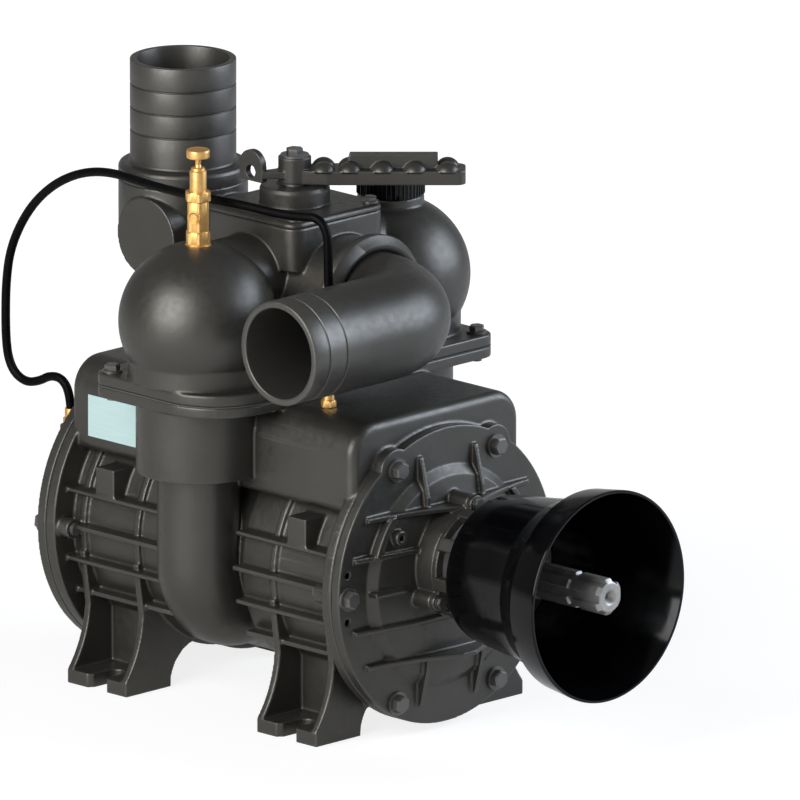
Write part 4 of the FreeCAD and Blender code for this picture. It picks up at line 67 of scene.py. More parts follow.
def way_to(azimuth, elevation):
    """Direction from the pump; the azimuth counts from the tractor's side, in radians."""
    level = math.cos(elevation)
    return Vector((math.sin(azimuth) * level, -math.cos(azimuth) * level, math.sin(elevation)))


def make_camera():
    """Far away with a long lens, so that the view is almost a parallel one."""
    back = way_to(CAMERA_AZIMUTH, CAMERA_ELEVATION)
    right = Vector((math.cos(CAMERA_AZIMUTH), math.sin(CAMERA_AZIMUTH), 0))
    up = back.cross(right)
    data = bpy.data.cameras.new("photo_camera")
    data.lens = CAMERA_LENS
    data.sensor_width = 36.0
    data.clip_start = 1.0
    data.clip_end = 80.0
    camera = bpy.data.objects.new("photo_camera", data)
    scene.collection.objects.link(camera)
    turn = Matrix((right, up, back)).transposed()
    target = right * LOOK_RIGHT + up * LOOK_UP
    camera.matrix_world = Matrix.Translation(target + back * CAMERA_DISTANCE) @ turn.to_4x4()
    scene.camera = camera


make_camera()


# Finishes

def math_node(tree, operation, first, second):
    """Result of one maths step; each of its two values is a socket or a number."""
    node = tree.nodes.new("ShaderNodeMath")
    node.operation = operation
    for socket, value in zip(node.inputs, (first, second)):
        if isinstance(value, float):
            socket.default_value = value
        else:
            tree.links.new(value, socket)
    return node.outputs[0]


class Finish:
    """One finish, built up from patterns in the pump's own coordinates."""

    def __init__(self, name):
        self.material = bpy.data.materials.new(name)
        self.material.use_nodes = True
        self.tree = self.material.node_tree
        self.shader = self.tree.nodes["Principled BSDF"]
        self.place = self.node("ShaderNodeTexCoord").outputs["Object"]
        self.relief = None

    def node(self, kind):
        return self.tree.nodes.new(kind)

    def link(self, source, target):
        self.tree.links.new(source, target)

    def set(self, **values):
        for socket, value in values.items():
            self.shader.inputs[socket.replace("_", " ")].default_value = value
        return self

    def noise(self, scale, detail=3.0, roughness=0.55, place=None):
        node = self.node("ShaderNodeTexNoise")
        node.inputs["Scale"].default_value = scale
        node.inputs["Detail"].default_value = detail
        node.inputs["Roughness"].default_value = roughness
        self.link(place or self.place, node.inputs["Vector"])
        return node.outputs["Fac"]

    def streaks(self, scales, detail, roughness):
        """Noise drawn out along an axis; one scale for each of X, Y and Z."""
        mapping = self.node("ShaderNodeMapping")
        mapping.inputs["Scale"].default_value = scales
        self.link(self.place, mapping.inputs["Vector"])
        return self.noise(1.0, detail, roughness, mapping.outputs["Vector"])

    def cells(self, scale):
        node = self.node("ShaderNodeTexVoronoi")
        node.inputs["Scale"].default_value = scale
        self.link(self.place, node.inputs["Vector"])
        return node.outputs["Distance"]

    def edges(self):
        """Above a half on outer edges, below it in corners."""
        return self.node("ShaderNodeNewGeometry").outputs["Pointiness"]

    def ranged(self, source, low, high, start=0.3, end=0.7):
        node = self.node("ShaderNodeMapRange")
        node.inputs["From Min"].default_value = start
        node.inputs["From Max"].default_value = end
        node.inputs["To Min"].default_value = low
        node.inputs["To Max"].default_value = high
        self.link(source, node.inputs["Value"])
        return node.outputs["Result"]

    def mixed(self, factor, first, second):
        """Blend of two colours, each a socket or red, green and blue."""
        node = self.node("ShaderNodeMix")
        node.data_type = "RGBA"
        self.link(factor, node.inputs["Factor"])
        for socket, colour in (("A", first), ("B", second)):
            target = [item for item in node.inputs if item.name == socket and item.type == "RGBA"][0]
            if isinstance(colour, tuple):
                target.default_value = (*colour, 1.0)
            else:
                self.link(colour, target)
        return [item for item in node.outputs if item.type == "RGBA"][0]

    def colour(self, source):
        self.link(source, self.shader.inputs["Base Color"])
        return self

    def roughness(self, source):
        self.link(source, self.shader.inputs["Roughness"])
        return self

    def bump(self, height, strength, depth):
        """Adds one layer of relief, depth in metres."""
        node = self.node("ShaderNodeBump")
        node.inputs["Strength"].default_value = strength
        node.inputs["Distance"].default_value = depth
        self.link(height, node.inputs["Height"])
        if self.relief is not None:
            self.link(self.relief, node.inputs["Normal"])
        self.relief = node.outputs["Normal"]
        self.link(self.relief, self.shader.inputs["Normal"])
        return self


def casting_paint():
    """Satin charcoal paint on sand-cast iron: fine grain, soft lumps, a painted highlight on outer edges and
    painted shade in corners.
    """
    finish = Finish("casting_paint").set(Metallic=0.74, IOR=1.5)
    patches = finish.ranged(finish.noise(14, 4), 0.0, 1.0)
    body = finish.mixed(patches, (0.084, 0.081, 0.073), (0.101, 0.097, 0.088))
    # Painted highlight: the colour turns lighter on outer edges, where the fillets catch the light.
    painted_edge_highlight = finish.ranged(finish.edges(), 0.0, 0.5, 0.51, 0.58)
    body = finish.mixed(painted_edge_highlight, body, (0.21, 0.205, 0.19))
    # Painted shade: the colour turns darker in corners and creases.
    painted_corner_shade = finish.ranged(finish.edges(), 0.6, 0.0, 0.42, 0.495)
    finish.colour(finish.mixed(painted_corner_shade, body, (0.04, 0.039, 0.035)))
    finish.roughness(finish.ranged(finish.noise(160, 5), 0.33, 0.45))
    finish.bump(finish.noise(60, 3), 0.12, 0.002)
    finish.bump(finish.noise(650, 4, 0.7), 0.3, 0.0004)
    return finish.material


def bolt_paint():
    """The same paint on turned steel, thinner and smoother."""
    finish = Finish("bolt_paint").set(Metallic=0.74)
    patches = finish.ranged(finish.noise(220, 3), 0, 1)
    body = finish.mixed(patches, (0.075, 0.073, 0.067), (0.105, 0.102, 0.094))
    # Painted highlight: the colour turns lighter on outer edges of the heads and washers.
    painted_edge_highlight = finish.ranged(finish.edges(), 0.0, 0.8, 0.51, 0.6)
    finish.colour(finish.mixed(painted_edge_highlight, body, (0.20, 0.195, 0.185)))
    finish.roughness(finish.ranged(finish.noise(400, 3), 0.3, 0.45))
    finish.bump(finish.noise(900, 3), 0.15, 0.0002)
    return finish.material


def guard_plastic():
    """Glossy injection-moulded black plastic with a faint flow pattern."""
    finish = Finish("guard_plastic").set(IOR=1.46, Specular_IOR_Level=0.3)
    flow = finish.ranged(finish.streaks((9, 60, 9), 3, 0.6), 0, 1)
    finish.colour(finish.mixed(flow, (0.0008, 0.0009, 0.0012), (0.0018, 0.002, 0.0026)))
    finish.roughness(finish.ranged(finish.noise(90, 4), 0.09, 0.17))
    finish.bump(finish.noise(1400, 2), 0.1, 0.0001)
    return finish.material


def hose_rubber():
    """Extruded black rubber with a dry bloom."""
    finish = Finish("hose_rubber").set(IOR=1.5, Specular_IOR_Level=0.08)
    bloom = finish.ranged(finish.noise(120, 5, 0.7), 0, 1)
    finish.colour(finish.mixed(bloom, (0.001, 0.001, 0.0012), (0.003, 0.003, 0.003)))
    finish.roughness(finish.ranged(finish.noise(300, 3), 0.36, 0.55))
    finish.bump(finish.noise(1500, 3), 0.2, 0.00015)
    return finish.material


def brass_turned():
    """Bright turned brass with fine rings round the upright axis and slight tarnish."""
    finish = Finish("brass_turned").set(Metallic=0.72)
    tarnish = finish.ranged(finish.noise(180, 5, 0.65), 0, 1)
    finish.colour(finish.mixed(tarnish, (0.93, 0.57, 0.21), (0.78, 0.44, 0.13)))
    rings = finish.streaks((60, 60, 5200), 2, 0.5)
    finish.roughness(finish.ranged(rings, 0.3, 0.45))
    finish.bump(rings, 0.14, 0.0001)
    return finish.material


def steel_turned():
    """Machined steel with rings round the shaft and a film of oil."""
    finish = Finish("steel_turned").set(Metallic=0.65)
    film = finish.ranged(finish.noise(90, 4), 0, 1)
    finish.colour(finish.mixed(film, (0.40, 0.39, 0.37), (0.54, 0.53, 0.51)))
    rings = finish.streaks((70, 2600, 70), 3, 0.5)
    finish.roughness(finish.ranged(rings, 0.38, 0.55))
    finish.bump(rings, 0.16, 0.0001)
    return finish.material


def steel_ground():
    """Ground bearing steel."""
    finish = Finish("steel_ground").set(Metallic=1.0)
    haze = finish.ranged(finish.noise(240, 3), 0, 1)
    finish.colour(finish.mixed(haze, (0.62, 0.62, 0.62), (0.72, 0.72, 0.71)))
    finish.roughness(finish.ranged(finish.streaks((50, 3000, 50), 2, 0.5), 0.12, 0.24))
    finish.bump(finish.noise(2600, 2), 0.05, 0.00005)
    return finish.material


def iron_machined():
    """Bored and milled grey iron."""
    finish = Finish("iron_machined").set(Metallic=0.9)
    flakes = finish.ranged(finish.cells(900), 0, 1, 0.0, 0.7)
    finish.colour(finish.mixed(flakes, (0.24, 0.235, 0.23), (0.34, 0.335, 0.33)))
    finish.roughness(finish.ranged(finish.noise(300, 4), 0.32, 0.5))
    finish.bump(finish.streaks((2200, 120, 2200), 3, 0.6), 0.12, 0.0001)
    return finish.material


def vane_laminate():
    """Oiled fibre laminate with its layers showing."""
    finish = Finish("vane_laminate")
    layers = finish.ranged(finish.streaks((1500, 40, 1500), 3, 0.6), 0, 1)
    finish.colour(finish.mixed(layers, (0.20, 0.12, 0.05), (0.34, 0.22, 0.10)))
    finish.roughness(finish.ranged(finish.noise(200, 3), 0.3, 0.5))
    finish.bump(layers, 0.15, 0.0001)
    return finish.material


def seal_rubber():
    """Matt black rubber."""
    finish = Finish("seal_rubber")
    bloom = finish.ranged(finish.noise(200, 4), 0, 1)
    finish.colour(finish.mixed(bloom, (0.012, 0.012, 0.012), (0.03, 0.03, 0.03)))
    finish.roughness(finish.ranged(finish.noise(350, 3), 0.4, 0.6))
    finish.bump(finish.noise(1200, 3), 0.2, 0.0001)
    return finish.material


def gasket_sheet():
    """Pressed fibre sheet."""
    finish = Finish("gasket_sheet")
    fibres = finish.ranged(finish.noise(1100, 5, 0.75), 0, 1)
    finish.colour(finish.mixed(fibres, (0.05, 0.055, 0.05), (0.12, 0.125, 0.115)))
    finish.roughness(finish.ranged(fibres, 0.7, 0.85, 0, 1))
    finish.bump(fibres, 0.3, 0.0001)
    return finish.material


def plate_lacquer():
    """Pale blue lacquer on sheet metal, left bare."""
    finish = Finish("plate_lacquer").set(Metallic=0.1)
    streaks = finish.ranged(finish.streaks((40, 25, 900), 3, 0.6), 0, 1)
    finish.colour(finish.mixed(streaks, (0.52, 0.71, 0.70), (0.57, 0.76, 0.75)))
    finish.roughness(finish.ranged(finish.noise(120, 4), 0.3, 0.42))
    finish.bump(finish.noise(700, 3), 0.08, 0.0001)
    return finish.material


def sight_glass():
    """Clear sight glass with oil behind it."""
    finish = Finish("sight_glass").set(IOR=1.47, Transmission_Weight=0.85)
    oil = finish.ranged(finish.noise(260, 3), 0, 1)
    finish.colour(finish.mixed(oil, (0.75, 0.62, 0.28), (0.86, 0.78, 0.48)))
    finish.roughness(finish.ranged(finish.noise(500, 2), 0.03, 0.1))
    finish.bump(finish.noise(700, 2), 0.04, 0.0001)
    return finish.material


finishes = {
    "casting": casting_paint(), "bolt_steel": bolt_paint(), "guard_plastic": guard_plastic(),
    "cap_plastic": guard_plastic(), "hose_rubber": hose_rubber(), "brass": brass_turned(),
    "shaft_steel": steel_turned(), "bearing_steel": steel_ground(), "rotor_iron": iron_machined(),
    "vane_fibre": vane_laminate(), "seal_rubber": seal_rubber(), "gasket": gasket_sheet(),
    "plate_blue": plate_lacquer(), "sight_glass": sight_glass(),
}
node_slot = {row["node"]: row["material_slot"] for row in frame["record"]["subparts"]}


def paint_frame():
    for name, node in frame["nodes"].items():
        node.data.materials.clear()
        node.data.materials.append(finishes[node_slot[name]])


paint_frame()
bodies = frame["record"]["behaviour"]["bodies"]
node_body = {node: body for body, members in bodies.items() for node in members}


def stand_for(piece, node):
    """The piece rides where its node rides, takes its finish and is shown in its place."""
    slot = node_slot[node]
    piece.data.materials.clear()
    piece.data.materials.append(finishes[slot])
    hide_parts(node)
    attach(piece, node_body[node])


# Making shapes

def object_from(name, mesh):
    piece = bpy.data.objects.new(name, mesh)
    scene.collection.objects.link(piece)
    return piece


def finished(name, form, sharp_angle=38.0):
    """Turns a bmesh into a piece with smooth faces and crisp edges."""
    bmesh.ops.remove_doubles(form, verts=form.verts, dist=1e-6)
    bmesh.ops.recalc_face_normals(form, faces=form.faces)
    mesh = bpy.data.meshes.new(name)
    form.to_mesh(mesh)
    form.free()
    mesh.shade_smooth()
    mesh.set_sharp_from_angle(angle=math.radians(sharp_angle))
    return object_from(name, mesh)


def plain_mesh(piece):
    """Replaces a piece's modifiers by the mesh they give."""
    graph = bpy.context.evaluated_depsgraph_get()
    mesh = bpy.data.meshes.new_from_object(piece.evaluated_get(graph), depsgraph=graph)
    piece.modifiers.clear()
    piece.data = mesh
    return mesh


def ring_of(form, steps, place):
    """Ring of vertices; place gives the point in millimetres for each angle."""
    return [form.verts.new(place(2 * math.pi * index / steps) * MM) for index in range(steps)]


def join_rings(form, rings, closed):
    """Skin from ring to ring, a ring of one vertex being a pole; closed also joins the last to the first."""
    pairs = list(zip(rings, rings[1:]))
    if closed:
        pairs.append((rings[-1], rings[0]))
    for near, far in pairs:
        count = max(len(near), len(far))
        for index in range(count):
            corners = [near[index % len(near)], near[(index + 1) % len(near)],
                       far[(index + 1) % len(far)], far[index % len(far)]]
            distinct = list(dict.fromkeys(corners))
            if len(distinct) > 2:
                form.faces.new(distinct)


def capped_rings(form, rings):
    """Skin from ring to ring with a face on both ends."""
    join_rings(form, rings, False)
    form.faces.new(rings[0])
    form.faces.new(rings[-1])


def eased(profile, size, closed):
    """Rounds the corners of a profile with three-point arcs of at most that size."""
    points = [Vector(point) for point in profile]
    rounded = []
    last = len(points) - 1
    for index, corner in enumerate(points):
        if not closed and index in (0, last):
            rounded.append(corner)
            continue
        before = points[index - 1] - corner
        after = points[(index + 1) % len(points)] - corner
        trim = min(size, 0.4 * before.length, 0.4 * after.length)
        start, end = corner + before.normalized() * trim, corner + after.normalized() * trim
        middle = (start + end) * 0.25 + corner * 0.5
        rounded += [start, middle, end]
    return rounded


POLE_RADIUS = 1e-6


def turned(name, profile, at, along=(0, 0, 1), ease=0.6, steps=96, closed=True):
    """Lathe work: profile points are radius and height in millimetres, along an axis from a place."""
    axis = Vector(along)
    side = axis.orthogonal().normalized()
    other = axis.cross(side)
    form = bmesh.new()
    rings = []
    for radius, height in eased(profile, ease, closed):
        centre = (Vector(at) + axis * height) * MM
        if radius < POLE_RADIUS:
            rings.append([form.verts.new(centre)])
            continue
        ring = []
        for index in range(steps):
            angle = 2 * math.pi * index / steps
            outward = side * math.cos(angle) + other * math.sin(angle)
            ring.append(form.verts.new(centre + outward * radius * MM))
        rings.append(ring)
    join_rings(form, rings, closed)
    return finished(name, form)


def added(piece, *others):
    """Joins other meshes into a piece."""
    form = bmesh.new()
    form.from_mesh(piece.data)
    for other in others:
        form.from_mesh(other.data)
        bpy.data.objects.remove(other)
    form.to_mesh(piece.data)
    form.free()
    return piece


def sand_cast(piece, grain, passes, most_triangles):
    """Gives every edge and corner of a piece the soft radius of the mould."""
    coarser = 1.0
    sand = piece.modifiers.new("sand", "REMESH")
    sand.mode = "VOXEL"
    sand.voxel_size = grain * MM * coarser
    sand.use_smooth_shade = True
    soften = piece.modifiers.new("soften", "SMOOTH")
    soften.factor = 0.5
    soften.iterations = passes
    mesh = plain_mesh(piece)
    # The remesh gives four-cornered faces
    triangles = 2 * len(mesh.polygons)
    if triangles > most_triangles:
        thin = piece.modifiers.new("thin", "DECIMATE")
        thin.ratio = most_triangles / triangles
        mesh = plain_mesh(piece)
    mesh.shade_smooth()
    return piece


def cast_piece(name, node, grain, passes, most_triangles):
    """Sand-cast copy of a solid; the grain is in millimetres."""
    form = bmesh.new()
    form.from_mesh(frame["nodes"][node].data)
    stand_for(sand_cast(finished(name, form), grain, passes, most_triangles), node)


# Castings: piece, its solid, grain, passes of smoothing, most triangles

for casting in (
        ("casing_cast", "pump_casing", 1.3, 2, 195000),
        ("manifold_cast", "manifold", 1.3, 3, 195000),
        ("front_cover_cast", "front_cover", 1.0, 2, 190000),
        ("rear_cover_cast", "rear_cover", 1.1, 2, 160000),
        ("valve_cover_cast", "valve_cover", 0.8, 3, 70000),
        ("handle_cast", "valve_handle", 0.7, 3, 100000),
        ("oil_pump_cast", "oil_pump_body", 0.9, 2, 60000),
        ("oil_pump_cover_cast", "oil_pump_cover", 0.9, 2, 50000)):
    cast_piece(*casting)


# Exhaust elbow

ELBOW_HEIGHT = 392.0
ELBOW_RADIUS = 49.5
ELBOW_BORE = 43.0
ELBOW_BEND = 65.7
ELBOW_AXIS = 175.0
ELBOW_MOUTH = 195.6
COLLAR_FACE = 99.0
COLLAR_RADIUS = 65.0
COLLAR_THICK = 5.0
COLLAR_FILLET = 7.0
SPIGOT_RADIUS = 41.95
SPIGOT_END = 91.0
NECK_BORE = 38.0
GROOVES = (19.4, 42.0)
GROOVE_WIDTH = 1.5
GROOVE_DEPTH = 1.0
BEND_STEPS = 28

# Stations along the pipe, counted in from the mouth
BEND_START = ELBOW_MOUTH - ELBOW_BEND
BEND_LENGTH = ELBOW_BEND * math.pi / 2
BEND_END = BEND_START + BEND_LENGTH
FACE_STATION = BEND_END + (ELBOW_AXIS - ELBOW_BEND) - COLLAR_FACE


def elbow_frame(station):
    """Centre and outward direction of the pipe's section, a distance in from the mouth."""
    if station <= BEND_START:
        return Vector((station - ELBOW_MOUTH, -ELBOW_AXIS, ELBOW_HEIGHT)), Vector((0, -1, 0))
    centre = Vector((-ELBOW_BEND, ELBOW_BEND - ELBOW_AXIS, ELBOW_HEIGHT))
    if station <= BEND_END:
        angle = (station - BEND_START) / ELBOW_BEND
        outward = Vector((math.sin(angle), -math.cos(angle), 0))
        return centre + outward * ELBOW_BEND, outward
    return centre + Vector((ELBOW_BEND, station - BEND_START - BEND_LENGTH, 0)), Vector((1, 0, 0))


def elbow_outside():
    """Stations and radii from the mouth over both grooves and the bend to the collar and its spigot."""
    groove_floor = ELBOW_RADIUS - GROOVE_DEPTH
    outer = [(0, ELBOW_RADIUS - 1.2), (0.4, ELBOW_RADIUS - 0.4), (1.4, ELBOW_RADIUS)]
    for groove in GROOVES:
        outer += [(groove - GROOVE_WIDTH, ELBOW_RADIUS), (groove - GROOVE_WIDTH / 2, groove_floor),
                  (groove + GROOVE_WIDTH / 2, groove_floor), (groove + GROOVE_WIDTH, ELBOW_RADIUS)]
    outer += [(BEND_START * share, ELBOW_RADIUS) for share in (0.5, 0.7, 0.85)]
    outer += [(BEND_START + (BEND_END - BEND_START) * step / BEND_STEPS, ELBOW_RADIUS)
              for step in range(BEND_STEPS)]
    foot = FACE_STATION - COLLAR_THICK
    outer.append((foot - COLLAR_FILLET, ELBOW_RADIUS))
    for share in (0.75, 0.5, 0.25, 0.0):
        angle = math.radians(90 * share)
        rise = COLLAR_FILLET * (1 - math.sin(angle))
        outer.append((foot - COLLAR_FILLET * math.cos(angle), ELBOW_RADIUS + rise))
    spigot_end = FACE_STATION + COLLAR_FACE - SPIGOT_END
    return outer + [
        (foot, COLLAR_RADIUS - 1.2), (foot + 0.4, COLLAR_RADIUS - 0.4), (foot + 1.2, COLLAR_RADIUS),
        (FACE_STATION, COLLAR_RADIUS), (FACE_STATION, SPIGOT_RADIUS), (spigot_end, SPIGOT_RADIUS),
        (spigot_end, NECK_BORE)]


def elbow_inside():
    """Stations and radii back through the bore to the mouth."""
    wide_bore = BEND_END - 10 - BEND_START
    inner = [(BEND_END + 2, NECK_BORE), (BEND_END - 6, ELBOW_BORE)]
    inner += [(BEND_START + wide_bore * step / BEND_STEPS, ELBOW_BORE) for step in range(BEND_STEPS, -1, -1)]
    return inner + [(1.2, ELBOW_BORE), (0.3, ELBOW_BORE + 0.4), (0, ELBOW_BORE + 1.2)]


def elbow_section(form, station, radius):
    """Ring of the pipe's skin at a station."""
    centre, outward = elbow_frame(station)
    upward = Vector((0, 0, 1))

    def place(turn):
        return centre + (outward * math.cos(turn) + upward * math.sin(turn)) * radius

    return ring_of(form, steps=112, place=place)


def exhaust_elbow():
    """Grooved pipe with its bend, collar and bore in one skin."""
    form = bmesh.new()
    rings = [elbow_section(form, station, radius) for station, radius in elbow_outside() + elbow_inside()]
    join_rings(form, rings, True)
    stand_for(finished("elbow_cast", form, sharp_angle=50), "exhaust_elbow")


exhaust_elbow()


# Hose connector over the rear housing

HOUSING_RADIUS = 61.0
CONNECTOR_FOOT = 470.0
CONNECTOR_FOOT_HEIGHT = 15.0
HOSE_RADIUS = 50.0
HOSE_BORE = 43.7
HOSE_RIM = 584.0
BARBS = 3
BARB_PITCH = 22.3
BARB_DEPTH = 1.0


def hose_connector():
    """Hose tail with its barbs, on a foot as wide as the housing."""
    foot_top = CONNECTOR_FOOT + CONNECTOR_FOOT_HEIGHT
    profile = [
        (HOSE_BORE, CONNECTOR_FOOT), (HOUSING_RADIUS, CONNECTOR_FOOT), (HOUSING_RADIUS, foot_top - 4),
        (HOUSING_RADIUS - 1.4, foot_top - 1.2), (HOUSING_RADIUS - 4, foot_top), (HOSE_RADIUS + 2.5, foot_top),
        (HOSE_RADIUS + 0.6, foot_top + 0.8), (HOSE_RADIUS, foot_top + 2.5)]
    for barb in range(BARBS, 0, -1):
        step = HOSE_RIM - barb * BARB_PITCH
        profile += [(HOSE_RADIUS, step - 1.5), (HOSE_RADIUS - BARB_DEPTH, step - 1.0),
                    (HOSE_RADIUS - BARB_DEPTH, step), (HOSE_RADIUS, step + 0.5)]
    profile += [(HOSE_RADIUS, HOSE_RIM), (HOSE_BORE, HOSE_RIM)]
    piece = turned("connector_turned", profile, (0, REAR_OFFSET, 0), ease=0.7, steps=128)
    stand_for(piece, "hose_connector")


hose_connector()


# Guard of the drive shaft and the ring that carries it; places are counted ahead of the middle of the feet

RING_BORE = 45.9
RING_RADIUS = 57.0
RING_FOOT_RADIUS = 54.0
RING_BACK = 235.0
RING_FOOT_FRONT = 241.0
RING_RIM_BACK = 257.0
RING_FRONT = 262.0
POSTS = 9
POST_BORE = 49.5
POST_HALF_ANGLE = 6.5
FIRST_POST = 110
EAR_ANGLES = (90, 210, 330)
EAR_CIRCLE = 57.5
EAR_RADIUS = 8.0
GUARD_BORE = 45.3
GUARD_BACK = 262.0
GUARD_FRONT = 413.5
GUARD_WALL = 3.5


def round_shaft(radius, angle, ahead):
    """Point in millimetres off the shaft's axis."""
    return Vector((radius * math.cos(angle), -ahead, SHAFT_HEIGHT + radius * math.sin(angle)))


def ring_post(middle):
    """Arched post, sunk into the foot and the rim of the ring, at an angle in degrees."""
    low, high = RING_FOOT_FRONT - 1.5, RING_RIM_BACK + 1
    corners = ((POST_BORE, low), (RING_RADIUS, low), (RING_RADIUS, high), (POST_BORE, high))
    form = bmesh.new()
    steps = 4
    rings = []
    for step in range(steps + 1):
        angle = math.radians(middle - POST_HALF_ANGLE + 2 * POST_HALF_ANGLE * step / steps)
        rings.append([form.verts.new(round_shaft(radius, angle, ahead) * MM) for radius, ahead in corners])
    capped_rings(form, rings)
    return finished("ring_post", form)


def flat_ring(name, inner, outer, back, front):
    """Plain ring round the shaft."""
    section = [(inner, back), (outer, back), (outer, front), (inner, front)]
    return turned(name, section, SHAFT_AXIS, TO_TRACTOR)


def guard_ring():
    """Ring between hub and guard, open in nine windows; three of them take the heads of its screws."""
    piece = flat_ring("guard_ring_cast", RING_BORE, RING_FOOT_RADIUS, RING_BACK, RING_FOOT_FRONT)
    parts = [flat_ring("ring_rim", RING_BORE, RING_RADIUS, RING_RIM_BACK, RING_FRONT)]
    for index in range(POSTS):
        parts.append(ring_post(FIRST_POST + 360 // POSTS * index))
    for angle in EAR_ANGLES:
        ear = [(0, RING_BACK), (EAR_RADIUS, RING_BACK), (EAR_RADIUS, RING_FOOT_FRONT), (0, RING_FOOT_FRONT)]
        parts.append(turned("ring_ear", ear, round_shaft(EAR_CIRCLE, math.radians(angle), 0), TO_TRACTOR,
                            steps=48, closed=False))
    stand_for(sand_cast(added(piece, *parts), grain=0.8, passes=2, most_triangles=70000), "guard_ring")


guard_ring()


def pto_guard():
    """Moulded cup: narrow at the ring, stepped to its wide rim, with a smooth cone inside."""
    outside = [
        (58.0, GUARD_BACK), (66.5, 267.0), (70.0, 269.6), (70.9, 273.0), (73.8, 294.0), (77.6, 325.0),
        (81.4, 352.0), (84.6, 361.0), (88.0, 370.0), (92.5, 375.0), (96.5, 380.0), (98.6, 395.0),
        (101.0, 412.0), (100.6, GUARD_FRONT)]
    cone = [(radius - GUARD_WALL, ahead) for radius, ahead in reversed(outside[3:7])]
    inside = [(98.0, GUARD_FRONT)] + cone + [
        (64.5, 267.0 + GUARD_WALL), (57.0, GUARD_BACK + GUARD_WALL), (GUARD_BORE, GUARD_BACK + GUARD_WALL)]
    profile = [(GUARD_BORE, GUARD_BACK)] + outside + inside
    stand_for(turned("guard_moulded", profile, SHAFT_AXIS, TO_TRACTOR, ease=0.8, steps=144), "pto_guard")


pto_guard()


# Bolts and screws: one head with its washer and shank, set on every place of its group

# Radii of the head as shares of its width across flats, then heights as shares of its own
HEX_CORNER = 0.57735
CROWN_RADIUS = 0.48
HEAD_BODY = 0.82
HEAD_CHAMFER = 0.18

# Each bolt stops at an angle of its own, in radians
MOST_SPIN = 0.5
SPIN_SEED = 7


def number_input(tree, name, value):
    socket = tree.interface.new_socket(name, in_out="INPUT", socket_type="NodeSocketFloat")
    socket.default_value = value


def bolt_tree():
    """Places a hexagon bolt on each point: chamfered head, washer above the seat, shank below."""
    tree = bpy.data.node_groups.new("bolts_on_places", "GeometryNodeTree")
    tree.interface.new_socket("Places", in_out="INPUT", socket_type="NodeSocketGeometry")
    for name, value in (("Head across", 0.019), ("Head height", 0.0075), ("Washer radius", 0.012),
                        ("Washer height", 0.0024), ("Shank radius", 0.006), ("Grip", 0.02)):
        number_input(tree, name, value)
    tree.interface.new_socket("Turn", in_out="INPUT", socket_type="NodeSocketVector")
    tree.interface.new_socket("Finish", in_out="INPUT", socket_type="NodeSocketMaterial")
    tree.interface.new_socket("Bolts", in_out="OUTPUT", socket_type="NodeSocketGeometry")
    given = tree.nodes.new("NodeGroupInput").outputs
    link = tree.links.new

    def share(size, factor):
        return math_node(tree, "MULTIPLY", given[size], factor)

    def above_washer(height):
        return math_node(tree, "ADD", height, given["Washer height"])

    def raised(mesh, height):
        lift = tree.nodes.new("ShaderNodeCombineXYZ")
        move = tree.nodes.new("GeometryNodeTransform")
        link(height, lift.inputs["Z"])
        link(mesh, move.inputs["Geometry"])
        link(lift.outputs["Vector"], move.inputs["Translation"])
        return move.outputs["Geometry"]

    def drum(radius, depth, middle, sides):
        node = tree.nodes.new("GeometryNodeMeshCylinder")
        node.inputs["Vertices"].default_value = sides
        link(radius, node.inputs["Radius"])
        link(depth, node.inputs["Depth"])
        return raised(node.outputs["Mesh"], middle)

    head = drum(share("Head across", HEX_CORNER), share("Head height", HEAD_BODY),
                above_washer(share("Head height", HEAD_BODY / 2)), sides=6)
    bevel = tree.nodes.new("GeometryNodeMeshCone")
    bevel.inputs["Vertices"].default_value = 6
    link(share("Head across", HEX_CORNER), bevel.inputs["Radius Bottom"])
    link(share("Head across", CROWN_RADIUS), bevel.inputs["Radius Top"])
    link(share("Head height", HEAD_CHAMFER), bevel.inputs["Depth"])
    crown = raised(bevel.outputs["Mesh"], above_washer(share("Head height", HEAD_BODY)))
    washer = drum(given["Washer radius"], given["Washer height"], share("Washer height", 0.5), sides=48)
    shank = drum(given["Shank radius"], given["Grip"], share("Grip", -0.5), sides=24)
    bolt = tree.nodes.new("GeometryNodeJoinGeometry")
    for solid in (head, crown, washer, shank):
        link(solid, bolt.inputs["Geometry"])
    spin = tree.nodes.new("FunctionNodeRandomValue")
    spin.data_type = "FLOAT"
    spin.inputs["Seed"].default_value = SPIN_SEED
    low, high = [socket for socket in spin.inputs if socket.name in ("Min", "Max") and socket.type == "VALUE"]
    low.default_value, high.default_value = -MOST_SPIN, MOST_SPIN
    about = tree.nodes.new("ShaderNodeCombineXYZ")
    link([socket for socket in spin.outputs if socket.type == "VALUE"][0], about.inputs["Z"])
    placed = tree.nodes.new("GeometryNodeInstanceOnPoints")
    link(given["Places"], placed.inputs["Points"])
    link(bolt.outputs["Geometry"], placed.inputs["Instance"])
    link(given["Turn"], placed.inputs["Rotation"])
    spun = tree.nodes.new("GeometryNodeRotateInstances")
    link(placed.outputs["Instances"], spun.inputs["Instances"])
    link(about.outputs["Vector"], spun.inputs["Rotation"])
    real = tree.nodes.new("GeometryNodeRealizeInstances")
    link(spun.outputs["Instances"], real.inputs["Geometry"])
    coat = tree.nodes.new("GeometryNodeSetMaterial")
    link(real.outputs["Geometry"], coat.inputs["Geometry"])
    link(given["Finish"], coat.inputs["Material"])
    link(coat.outputs["Geometry"], tree.nodes.new("NodeGroupOutput").inputs["Bolts"])
    return tree


bolts_on_places = bolt_tree()

# Sizes of a bolt, as multiples of the radius of its shank
BOLT_SIZES = {"Head across": 2.55, "Head height": 1.1, "Washer radius": 1.9, "Washer height": 0.4,
              "Shank radius": 1.0}


